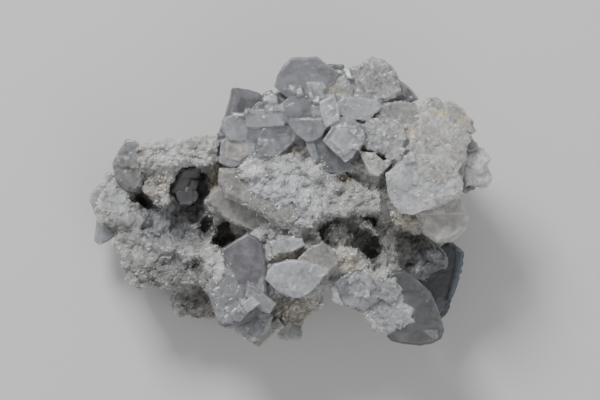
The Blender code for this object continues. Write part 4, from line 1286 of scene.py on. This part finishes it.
LOWER_RIGHT = (
    # Painted shade: this first blade is painted darker than its own grey, for the shade that it lies in.
    Plate(((30.5, -21.2), (33.9, -21), (35.8, -22.1), (38.8, -25), (41.3, -27.6), (43.2, -31.8),
           (44.7, -36), (45.3, -38.4), (44.5, -40.8), (42, -42.1), (38.4, -42.7), (33.9, -42.2),
           (30.1, -41.4), (28.3, -39.4), (25.6, -38.3), (24, -33), (25, -26)), 34.5, Look.DARK,
          (-0.02, 0.06), 8, 0.7, 0.05),
    Plate(((24.3, -25.8), (31.8, -25.6), (33.3, -28.6), (32.6, -30.3), (36.2, -32.2), (35, -34.2),
           (36.4, -35.6), (33, -36.9), (28.8, -39.3), (25, -38.3), (22.9, -34.8), (23.2, -30.5)), 35.1,
          Look.FROSTED, (0, 0.05), 6, 0.3, 0.25),
    Plate(((26, -39), (32, -37.6), (39, -38.4), (43, -38.6), (43.6, -40.6), (41.6, -41.4), (38, -42),
           (33.6, -41.4), (30, -40.6)), 33.7, Look.GREY, (0, 0.14), 4, 0.3),
    Plate(((25.4, -22.8), (30.4, -23.9), (32.4, -26.4), (31.5, -29.1), (28.8, -29.9), (26, -28.5),
           (25, -25.6)), 36.8, Look.FROSTED, (-0.05, 0.08), 6, 0.4, 0.2),
    Plate(((13.2, -24), (18, -21), (21, -22.2), (25.8, -24.2), (25.4, -30), (21.4, -32.2), (15.8, -30)),
          37.2, Look.MILKY, (0, 0.08), 7, 0.5, 0.25),
    Plate(((17.4, -22.4), (22.4, -22), (24.6, -25.4), (22, -28.6), (17.8, -27)), 37.7, Look.FROSTED,
          (-0.05, 0.05), 5, 0.3, 0.2),
    Plate(((12.2, -25.8), (14.6, -24.6), (16.4, -27.6), (15.2, -30), (12.4, -29.4)), 35.6, Look.SUGARY,
          (0, 0), 6, 0.4, 0.3),
)

LOWER_CENTRE = (
    Plate(((-7.3, -23.4), (-6.7, -20.8), (-4.8, -18.9), (0, -17.8), (4.5, -18.4), (11, -20.3),
           (8.4, -23.1), (6.6, -25.4), (4.5, -27.1), (2.4, -28.2), (0.3, -28.2), (-3.7, -26.5)), 43,
          Look.WHITE, (0, 0.05), 6, 0.35, 0.08),
    Plate(((2, -17.4), (5.4, -14.1), (9, -12.6), (12.2, -15.4), (13.2, -18.3), (9.9, -21), (4.5, -21)),
          41.8, Look.DUSTED, (0, 0.1), 7, 0.25, 0.15),
)

SMALL_SHELF = (
    Plate(((-6.3, -11.8), (-2, -11.2), (2.4, -11.1), (3.5, -13), (-0.6, -14.7), (-4.9, -15.6)), 42.5,
          Look.WHITE, (0, -0.1), 5, 0.3, 0.15),
)

LOWER_LEFT = (
    Plate(((-13.6, -9.6), (-17, -11.9), (-21, -14.4), (-23, -20), (-25, -26.5), (-23.6, -31), (-21.8, -36),
           (-20, -37), (-16.5, -36.4), (-12, -33.5), (-7.8, -28.5), (-8, -22), (-8.3, -17.4),
           (-9.2, -13.2), (-10.8, -11)), 38.5, Look.LILAC, (0.08, -0.08), 8, 0.6),
    Plate(((-11, -11.6), (-9.6, -15), (-8.6, -21), (-8.4, -27), (-11.4, -25.6), (-11.6, -16)), 38.6,
          Look.MILKY, (0.16, -0.08), 5, 0.2),
    Plate(((-24.6, -26.5), (-22.4, -20.5), (-18.5, -20), (-15.5, -23), (-13.4, -26.4), (-14.6, -31),
           (-18.4, -35.6), (-21, -36), (-23.2, -31)), 38.9, Look.HOARY, (0.08, -0.08), 5, 0.3, 0.25),
    Plate(((-12.8, -24.8), (-10.8, -25.7), (-5.2, -30.3), (-6.9, -33), (-9, -32.4), (-13.5, -28.2)), 41.6,
          Look.MILKY, (0, 0), 6, 0.3),
    Plate(((-15, -30.3), (-12, -28.5), (-9.9, -30.3), (-13.2, -32.8)), 44, Look.WHITE, (0, 0), 6, 0.25),
    Plate(((-17.8, -33.5), (-14.7, -30.6), (-12.2, -31.8), (-15.6, -35.4), (-17.1, -35.1)), 42.8,
          Look.MILKY, (0, 0), 6, 0.25),
    Plate(((-9.4, -15.4), (-6.6, -16.2), (-4.2, -18.3), (-6.6, -20.5), (-9.4, -20.8)), 36, Look.GREY,
          (0, 0), 5, 0.25),
)

BOTTOM = (
    Plate(((-14.3, -35.4), (-10.2, -33.1), (-6.3, -34.7), (-7.2, -38.2), (-12, -41.7), (-15.9, -39.3),
           (-16.5, -36.9)), 31, Look.FROSTED, (0, 0.1), 8, 0.4, 0.3),
    Plate(((-13.6, -36.6), (-12, -35.2), (-10, -35.4), (-8.6, -37), (-9, -39), (-11, -40.2), (-13, -39.2)),
          32, Look.MILKY, (0.1, 0.1), 5, 0.5),
    Plate(((-12.3, -41.1), (-4.6, -35.4), (-2.7, -37.8), (-6, -40.1), (-9.6, -43.3), (-11.1, -42.7)), 29.6,
          Look.BEIGE, (0, 0.05), 6, 0.25),
    Plate(((-5, -36.5), (2.4, -35.6), (2.4, -40.7), (-0.6, -41.1), (-3.2, -40.9)), 24, Look.FROSTED,
          (0, 0), 7, 0.4, 0.2),
)

VUG_CRYSTALS = (
    Plate(((-36.2, 3.2), (-32.7, 9.2), (-27.4, 10.4), (-28.4, 7.2), (-30.4, 4), (-33.6, 2.6)), 24,
          Look.DARK, (-0.15, 0.15), 6, 0.3),
    Plate(((-34.4, 2.4), (-31.2, 4.4), (-29, 3.2), (-28.4, 0.9), (-31.2, -0.5), (-33.8, -0.2)), 24.6,
          Look.DARK, (-0.12, -0.08), 8, 0.25, 0.3),
    Plate(((-30, 2.5), (-28, 8.4), (-25, 5.9), (-25.6, 1), (-28.6, -1.1)), 18, Look.DARK, (0.2, 0), 5,
          0.2),
)

CENTRE = (
    Plate(((-21.2, 9.8), (-4, 10.2), (4, 7), (6, -1), (-0.2, -6.6), (-5, -6.2), (-9, -3.4), (-13, -1),
           (-19.4, 1.6), (-21.4, 6)), 41.6, Look.DUSTED, (0, 0), 7, 1.2, 0.15),
)

CENTRE_LOW = (
    Plate(((-25.6, 0.2), (-23.2, 3.5), (-20, 4.8), (-9.4, -2.6), (-6.8, -7.6), (-12.6, -8.6),
           (-19.2, -5.2)), 34.6, Look.DUSTED, (0.02, 0.06), 6, 0.8, 0.15),
)

# The crystals that stand alone at the left end.
LEFT_TIPS = {
    "barite_tip_upper_left": (
        Plate(((-56.3, 8.6), (-54, 8.9), (-51.5, 7), (-52.5, 3.6), (-56.3, 4.8)), 16, Look.MILKY,
              (0.05, 0), 6, 0.4),
    ),
    "barite_tip_left": (
        Plate(((-61, 0.6), (-60.4, 2.4), (-58.5, 4.7), (-56.6, 5.6), (-53, 3), (-54.5, -1.2),
               (-59.3, -2.4)), 20, Look.MILKY, (0.05, 0), 7, 0.5),
    ),
    "barite_tip_lower_left": (
        Plate(((-59.6, -11.4), (-58.9, -5.4), (-54.5, -4.6), (-52, -8.4), (-56.2, -11.7), (-58.3, -12.6)),
              16, Look.MILKY, (0.05, 0.05), 6, 0.5),
    ),
    "barite_plate_upper_left": (
        Plate(((-51.7, 15.3), (-49.6, 18.6), (-46.6, 17.7), (-44.2, 14.1), (-46.4, 10.6), (-51.6, 11)), 31,
              Look.HOARY, (0.05, -0.05), 7, 0.5, 0.2),
        Plate(((-53.4, 11.1), (-52.2, 13.8), (-49.2, 14.4), (-46.2, 12.6), (-44.9, 9), (-45.2, 5.6),
               (-46.8, 3.6), (-49.8, 3.9), (-52.6, 6.6)), 29.9, Look.HOARY, (0, 0.04), 7, 1.2, 0.2),
    ),
    "barite_lens_left": (
        Plate(((-57.1, -2.3), (-48.6, -2.5), (-44.6, -5.2), (-46.4, -8.6), (-51, -8.5), (-56.6, -6)), 30.0,
              Look.DUSTED, (0, 0.02), 5, 0.5, 0.1),
    ),
}
CALCITE_BLOCKS = (
    Plate(((50.8, 13.6), (53.6, 15.3), (56.5, 15.4), (58.6, 12.4), (56.6, 8.8), (52, 8.6)), 40.5,
          Look.SUGARY, (0.1, 0.1), 9, 1.4, 0.15),
    Plate(((55.4, 10.4), (58.4, 10.4), (59.8, 7.3), (58.6, 5.2), (56, 5.6)), 37.5, Look.SUGARY, (0, 0), 8,
          1.2, 0.1),
    Plate(((51.4, 10), (56.2, 9.6), (57, 5.8), (52.6, 5.6)), 38.6, Look.SUGARY, (0, -0.1), 8, 0.9, 0.1),
)

# The groups of crystals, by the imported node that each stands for.
GROUPS = {
    "barite_cluster_top": TOP_CLUSTER + GLINTS,
    "barite_cluster_right": RIGHT_CLUSTER,
    "barite_wedge_right": WEDGE,
    "barite_smoky_sheet": SMOKY_SHEET,
    "barite_cluster_lower_right": LOWER_RIGHT,
    "barite_lens_lower_centre": LOWER_CENTRE,
    "barite_small_shelf": SMALL_SHELF,
    "barite_cluster_lower_left": LOWER_LEFT,
    "barite_cluster_bottom": BOTTOM,
    "barite_vug_crystals": VUG_CRYSTALS,
    "barite_plate_centre": CENTRE,
    "barite_ledge_centre": CENTRE_LOW,
    **LEFT_TIPS,
    "calcite_blocks_right": CALCITE_BLOCKS,
}

# The bands of grains on the calcite mass from left to right, and their borders along X.
BANDS = ("left", "left_middle", "middle", "right_middle", "right", "far_right")
BAND_EDGES = (-70, -34, -16, 0, 18, 36, 70)

# The height that a group's crystals are drawn towards, and the share of their own that they keep.
SETTLED = {"barite_cluster_top": (46.0, 0.62), "barite_cluster_right": (47.0, 0.75)}

# Tints and stains on the crystals.
CRYSTAL_REGIONS = (
    Region(12.6, 33, 5, 3.2, "#C9BBA4", 0.45),
    Region(-49, 9.5, 6, 8, "#A19F9B", 0.6),
    Region(-48.3, 9.9, 2.0, 1.5, "#E6DFCF", 0.8),
    Region(24, 36.5, 10, 6.5, "#A3A3A1", 0.5),
    Region(28, 19.5, 7, 5.5, "#E2E3E4", 0.7),
    Region(44.7, 26.7, 1.4, 1.2, "#F2E2B0", 0.9),
    Region(51, 24.9, 1.6, 1.6, "#F0DFA8", 0.9),
    Region(35.4, 21.6, 3.2, 1.8, "#EFE3C0", 0.9),
)


@dataclass
class CrystalGroup:
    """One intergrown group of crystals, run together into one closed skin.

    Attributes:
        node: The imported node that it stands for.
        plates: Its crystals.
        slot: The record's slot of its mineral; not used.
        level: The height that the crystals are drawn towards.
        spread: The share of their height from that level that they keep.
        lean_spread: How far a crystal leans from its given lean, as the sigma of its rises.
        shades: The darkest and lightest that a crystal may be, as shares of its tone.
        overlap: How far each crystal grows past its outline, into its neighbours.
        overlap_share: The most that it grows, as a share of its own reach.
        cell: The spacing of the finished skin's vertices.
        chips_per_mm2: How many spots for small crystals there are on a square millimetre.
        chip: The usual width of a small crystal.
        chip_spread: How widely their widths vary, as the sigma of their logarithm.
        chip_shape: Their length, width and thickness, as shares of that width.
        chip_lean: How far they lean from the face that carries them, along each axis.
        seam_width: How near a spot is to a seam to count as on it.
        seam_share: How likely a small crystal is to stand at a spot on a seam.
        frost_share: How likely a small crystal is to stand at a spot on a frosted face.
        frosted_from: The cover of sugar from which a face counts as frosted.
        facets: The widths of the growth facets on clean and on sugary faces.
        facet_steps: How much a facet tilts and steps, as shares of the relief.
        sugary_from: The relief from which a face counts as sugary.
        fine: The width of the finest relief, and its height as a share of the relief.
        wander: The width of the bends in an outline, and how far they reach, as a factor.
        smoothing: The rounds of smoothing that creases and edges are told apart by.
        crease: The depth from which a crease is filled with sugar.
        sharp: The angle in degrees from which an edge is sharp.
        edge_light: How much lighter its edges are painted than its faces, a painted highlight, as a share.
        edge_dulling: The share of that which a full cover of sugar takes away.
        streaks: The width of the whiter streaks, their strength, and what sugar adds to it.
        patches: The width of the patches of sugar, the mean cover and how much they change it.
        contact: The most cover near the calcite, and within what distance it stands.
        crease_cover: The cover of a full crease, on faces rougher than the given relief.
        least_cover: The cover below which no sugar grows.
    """

    node: str
    plates: tuple[Plate, ...]
    slot: Mineral = Mineral.MILKY_BARITE
    level: float = 46.0
    spread: float = 1.0
    lean_spread: float = 0.03
    shades: tuple[float, float] = (0.93, 1.07)
    overlap: float = 0.55
    overlap_share: float = 0.14
    cell: float = 0.28
    chips_per_mm2: float = 0.12
    chip: float = 1.1
    chip_spread: float = 0.35
    chip_shape: tuple[float, float, float] = (1.2, 0.9, 0.6)
    chip_lean: float = 0.2
    seam_width: float = 1.2
    seam_share: float = 0.5
    frost_share: float = 0.3
    frosted_from: float = 0.5
    facets: tuple[float, float] = (3.2, 1.1)
    facet_steps: tuple[float, float] = (0.7, 0.5)
    sugary_from: float = 0.15
    fine: tuple[float, float] = (0.9, 0.4)
    wander: tuple[float, float] = (1.3, 2.4)
    smoothing: int = 14
    crease: float = 0.22
    sharp: float = 32.0
    edge_light: float = 0.36
    edge_dulling: float = 0.6
    streaks: tuple[float, float, float] = (1.1, 0.12, 0.45)
    patches: tuple[float, float, float] = (2.2, 0.5, 2.2)
    contact: tuple[float, float] = (0.9, 1.3)
    crease_cover: tuple[float, float] = (0.7, 0.05)
    least_cover: float = 0.18

    def crystal(self, plate: Plate, lean: tuple[float, float]) -> bmesh.types.BMesh:
        """Makes one crystal: a bevelled tablet.

        Args:
            plate: The crystal's sizes.
            lean: How much its top face rises for each millimetre along X and Y.

        Returns:
            The crystal as a bmesh in metres.
        """
        count = len(plate.outline)
        mx, my = (sum(p[i] for p in plate.outline) / count for i in (0, 1))
        normal = Vector((-lean[0], -lean[1], 1)).normalized()
        height = self.level + (plate.height - self.level) * self.spread
        bm = bmesh.new()
        corners = []
        for x, y in plate.outline:
            reach = math.hypot(x - mx, y - my)
            grown = 1 + min(self.overlap / reach, self.overlap_share)
            dx, dy = (x - mx) * grown, (y - my) * grown
            corner = Vector((mx + dx, my + dy, height + lean[0] * dx + lean[1] * dy))
            corners.append(bm.verts.new(corner * MM))
        top = bmesh.ops.contextual_create(bm, geom=corners)["faces"][0]
        swept = bmesh.ops.extrude_face_region(bm, geom=[top], use_keep_orig=True)
        lowered = [v for v in swept["geom"] if isinstance(v, bmesh.types.BMVert)]
        bmesh.ops.translate(bm, verts=lowered, vec=-normal * plate.thickness * MM)
        bmesh.ops.recalc_face_normals(bm, faces=bm.faces)
        level_enough = 0.9
        flats = [f for f in bm.faces if len(f.verts) == count and abs(f.normal.dot(normal)) > level_enough]
        bmesh.ops.bevel(
            bm, geom=[e for f in flats for e in f.edges], affect="EDGES", offset=plate.rim * MM, segments=1,
            profile=0.5, material=-1, clamp_overlap=True,
        )
        return bm

    def small_crystals(
        self, joined: bmesh.types.BMesh, owners: list[int], rng: np.random.Generator
    ) -> list[tuple[bmesh.types.BMesh, int]]:
        """Makes small tablets that sit half sunk on the seams and the sugary faces.

        Args:
            joined: The large crystals.
            owners: The crystal that each of its faces belongs to.
            rng: The source of random numbers.

        Returns:
            Each small crystal with the number of the large one that carries it.
        """
        above = 100.0
        tree = BVHTree.FromBMesh(joined)
        low, high = (np.array([f(v.co[i] for v in joined.verts) for i in (0, 1)]) for f in (min, max))
        tries = int(np.prod((high - low) / MM) * self.chips_per_mm2)
        made = []
        for x, y in rng.uniform(low, high, (tries, 2)):
            spot, normal, face, _ = tree.ray_cast(Vector((x, y, above * MM)), DOWN)
            if spot is None:
                continue
            aside = Vector((*rng.normal(0, self.seam_width, 2), above / 2))
            beside = tree.ray_cast(spot + aside * MM, DOWN)[2]
            at_seam = beside is not None and owners[beside] != owners[face]
            frosted = self.plates[owners[face]].look.frost > self.frosted_from
            if rng.random() > self.seam_share * at_seam + self.frost_share * frosted:
                continue
            chip = bmesh.new()
            bmesh.ops.create_cube(chip, size=self.chip * math.exp(rng.normal(0, self.chip_spread)) * MM)
            bmesh.ops.scale(chip, vec=self.chip_shape, verts=chip.verts)
            lean = (normal + Vector(rng.normal(0, self.chip_lean, 3))).to_track_quat("Z", "Y")
            turn = Matrix.Rotation(rng.uniform(0, math.tau), 4, "Z")
            placed = Matrix.Translation(spot) @ lean.to_matrix().to_4x4() @ turn
            bmesh.ops.transform(chip, matrix=placed, verts=chip.verts)
            made.append((chip, owners[face]))
        return made

    def join(self, rng: np.random.Generator) -> tuple[bmesh.types.BMesh, np.ndarray, np.ndarray]:
        """Joins the large crystals, then the small ones that sit on them.

        Args:
            rng: The source of random numbers.

        Returns:
            The joined crystals, and for each face the crystal that it belongs to and its shade.
        """
        joined, owners, shades = bmesh.new(), [], []
        shells = []
        for number, plate in enumerate(self.plates):
            lean = tuple(value + rng.normal(0, self.lean_spread) for value in plate.lean)
            shells.append((self.crystal(plate, lean), number))
        for small_ones_follow in (True, False):
            for shell, number in shells:
                part = mesh_of(shell, self.node)
                joined.from_mesh(part)
                owners += [number] * len(part.polygons)
                shades += [rng.uniform(*self.shades)] * len(part.polygons)
                bpy.data.meshes.remove(part)
            if small_ones_follow:
                shells = self.small_crystals(joined, owners, rng)
        return joined, np.array(owners), np.array(shades)

    def relieve(self, points: np.ndarray, owners: np.ndarray) -> np.ndarray:
        """Gives the faces their growth facets and fine relief, and the outlines their wander.

        Args:
            points: The skin's vertices in millimetres, one a row.
            owners: The crystal that each vertex belongs to.

        Returns:
            The moved vertices.
        """
        moved = points.copy()
        for row, place in enumerate(points):
            plate, at = self.plates[owners[row]], Vector(place)
            relief = plate.look.relief
            width = self.facets[1 if relief > self.sugary_from else 0]
            seed = noise.voronoi(at / width)[1][0] * width
            tilt = noise.cell_vector(seed * CELL_SCRAMBLE) * 2 - Vector((1, 1, 1))
            facet = (at - seed).dot(tilt) * self.facet_steps[0] + tilt.z * self.facet_steps[1]
            wander = noise.noise_vector(at / self.wander[0]) * plate.ragged * self.wander[1]
            fine = noise.noise(at / self.fine[0]) * self.fine[1]
            moved[row] += (wander.x, wander.y, (facet + fine) * relief)
        return moved

    def toned(
        self, tone: np.ndarray, points: np.ndarray, hollow: np.ndarray, frost: np.ndarray
    ) -> np.ndarray:
        """Paints a highlight along the edges of crystals and streaks their faces.

        Args:
            tone: The linear colour of each vertex.
            points: The vertices in millimetres, one a row.
            hollow: How deep each lies in a crease, or below 0 how far it stands on an edge.
            frost: The cover of sugar that its crystal's look gives it.

        Returns:
            The changed colours.
        """
        # Painted highlight along the crystals' edges, dulled where sugar covers them.
        edges = self.edge_light * (1 - self.edge_dulling * frost) * np.clip(-hollow, 0, 1)
        width, strength, more = self.streaks
        streaks = (strength + more * frost) * noise_at(points, width)
        return tone * (1 + edges)[:, None] * (1 + streaks)[:, None]

    def sugar_cover(
        self, gaps: np.ndarray, points: np.ndarray, hollow: np.ndarray, frost: np.ndarray,
        relief: np.ndarray,
    ) -> np.ndarray:
        """Finds how thickly sugar covers the crystals.

        Args:
            gaps: How far each vertex is from the calcite in millimetres.
            points: The vertices in millimetres, one a row.
            hollow: How deep each lies in a crease.
            frost: The cover that its crystal's look gives it.
            relief: The height of its crystal's relief.

        Returns:
            The cover at each vertex.
        """
        width, mean, change = self.patches
        most, distance = self.contact
        full, rough_from = self.crease_cover
        cover = frost * np.clip(mean + change * noise_at(points, width), 0, 1)
        cover += np.exp(-((gaps / distance) ** 2)) * most
        cover += np.clip(hollow, 0, 1) * full * (relief > rough_from)
        cover[cover < self.least_cover] = 0
        return cover

    def build(
        self, material: bpy.types.Material, calcite: BVHTree
    ) -> tuple[bpy.types.Object, np.ndarray, np.ndarray]:
        """Builds the group.

        Args:
            material: Its finish.
            calcite: The surface of the calcite that the crystals grew on.

        Returns:
            The piece, how much of it is covered with sugar at each vertex, and its tones.
        """
        joined, owners, shades = self.join(np.random.default_rng(SEED + len(self.node)))
        tree = BVHTree.FromBMesh(joined)
        mesh = reshaped(mesh_of(joined, self.node), self.cell)
        points = coordinates(mesh)
        faces = np.array([tree.find_nearest(Vector(p) * MM)[2] for p in points])
        owner = owners[faces]
        moved = self.relieve(points, owner)
        move_to(mesh, moved)
        tone, clearness, frost, relief = (
            np.array([getattr(plate.look, name) for plate in self.plates])[owner]
            for name in ("tone", "clearness", "frost", "relief")
        )
        smoothed = coordinates(reshaped(mesh.copy(), rounds=self.smoothing))
        hollow = ((smoothed - moved) * vertex_normals(mesh)).sum(1) / self.crease
        tone = tinted(tone * shades[faces][:, None], points, CRYSTAL_REGIONS)
        # Paints the highlight along the edges over the crystals' tones and tints.
        tone = self.toned(tone, moved, hollow, frost)
        paint(mesh, tone, clearness)
        mesh.set_sharp_from_angle(angle=math.radians(self.sharp))
        cover = self.sugar_cover(gaps_to(calcite, moved), moved, hollow, frost, relief)
        piece = add_piece(self.node + "_crystals", mesh, material)
        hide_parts(self.node)
        log.info("%s: %d faces", piece.name, len(mesh.polygons))
        return piece, cover, tone


@dataclass(frozen=True)
class Lamp:
    """A square soft light: its name, its place and its width in metres, and its power in watts."""

    name: str
    place: tuple[float, float, float]
    span: float
    power: float


@dataclass
class Studio:
    """The plain pale floor, the soft lights and the camera straight above the display face.

    Attributes:
        target: The point in millimetres that the camera and the lights face.
        distance: The camera's height above the target in metres.
        lens: The focal length, and the sensor's width.
        far: How far the camera sees, in metres.
        floor_colour: The floor's sRGB colour.
        floor_roughness: How dull the floor is.
        floor_span: The floor's width in metres.
        floor_gap: How far it lies under the specimen.
        lamps: The lights.
        room_light: The strength of the room's own light.
    """

    target: tuple[float, float, float] = (2.4, 0.6, 35.0)
    distance: float = 2.0
    lens: tuple[float, float] = (400.0, 36.0)
    far: float = 20.0
    floor_colour: str = "#E6E6E6"
    floor_roughness: float = 0.9
    floor_span: float = 6.0
    floor_gap: float = 0.2
    lamps: tuple[Lamp, ...] = (
        Lamp("key", (-0.35, 0.75, 0.8), 0.35, 10.0),
        Lamp("fill", (0.5, -0.7, 1.1), 0.9, 2.5),
    )
    room_light: float = 0.38

    def hang(self, lamp: Lamp) -> None:
        """Hangs a lamp so that it faces the specimen.

        Args:
            lamp: The lamp.
        """
        light = bpy.data.lights.new(lamp.name, "AREA")
        light.shape, light.size, light.energy = "SQUARE", lamp.span, lamp.power
        obj = put(lamp.name, light)
        obj.location = lamp.place
        aim = Vector(self.target) * MM - Vector(lamp.place)
        obj.rotation_euler = aim.to_track_quat("-Z", "Y").to_euler()

    def floor(self) -> None:
        """Lays the floor."""
        bm = bmesh.new()
        bmesh.ops.create_grid(bm, x_segments=1, y_segments=1, size=self.floor_span / 2)
        mesh = mesh_of(bm, "floor")
        material, _, shader = new_material("matt paper")
        set_inputs(shader, {
            "Base Color": (*linear(self.floor_colour), 1), "Roughness": self.floor_roughness,
        })
        mesh.materials.append(material)
        obj = put("floor", mesh)
        obj.location = (0, 0, -self.floor_gap * MM)

    def camera(self) -> None:
        """Hangs the camera straight above the display face, with the specimen's +Y up."""
        camera = bpy.data.cameras.new("camera")
        camera.lens, camera.sensor_width = self.lens
        camera.clip_end = self.far
        obj = put("camera", camera)
        obj.location = Vector(self.target) * MM + Vector((0, 0, self.distance))
        bpy.context.scene.camera = obj

    def build(self) -> None:
        """Sets up the floor, the lights, the room's own light and the camera."""
        self.floor()
        for lamp in self.lamps:
            self.hang(lamp)
        world = bpy.data.worlds.new("room")
        world.use_nodes = True
        sky = world.node_tree.nodes["Background"]
        set_inputs(sky, {"Color": (1, 1, 1, 1), "Strength": self.room_light})
        bpy.context.scene.world = world
        self.camera()


def main() -> None:
    """Builds the specimen's pieces in order, then the studio."""
    logging.basicConfig(level=logging.INFO, format="%(name)s %(message)s")
    noise.seed_set(SEED)
    druse = DrusyCalcite().make()
    milky = TabularBarite("milky barite").make()
    smoky = TabularBarite("smoky barite", roughness=0.32, veil_mm=14.0).make()
    white = TabularBarite("white calcite", roughness=0.4, ior=1.6).make()
    finishes = {
        "barite_smoky_sheet": (smoky, Mineral.SMOKY_BARITE),
        "barite_vug_crystals": (smoky, Mineral.SMOKY_BARITE),
        "calcite_blocks_right": (white, Mineral.WHITE_CALCITE),
    }
    matrix, crown = CalciteMatrix().build(druse)
    coat = DruseCoat()
    spots = coat.sample(matrix.data, crown, np.ones(len(crown)), np.random.default_rng(SEED))
    coat.build(spots, BANDS, BAND_EDGES, druse)
    calcite = surface_of(matrix.data)
    sugar = DruseCoat(grain=0.28, spread=0.34, per_mm2=7.8, variety=0.2)
    for number, (node, plates) in enumerate(GROUPS.items(), 1):
        material, slot = finishes.get(node, (milky, Mineral.MILKY_BARITE))
        group = CrystalGroup(node, plates, slot, *SETTLED.get(node, ()))
        piece, cover, tone = group.build(material, calcite)
        rng = np.random.default_rng(SEED + number)
        spots = sugar.sample(piece.data, np.ones(len(cover)), cover, rng, tone)
        sugar.build(spots, (f"on_{node}",), (BAND_EDGES[0], BAND_EDGES[-1]), druse)
    Studio().build()


if __name__ == "__main__":
    main()
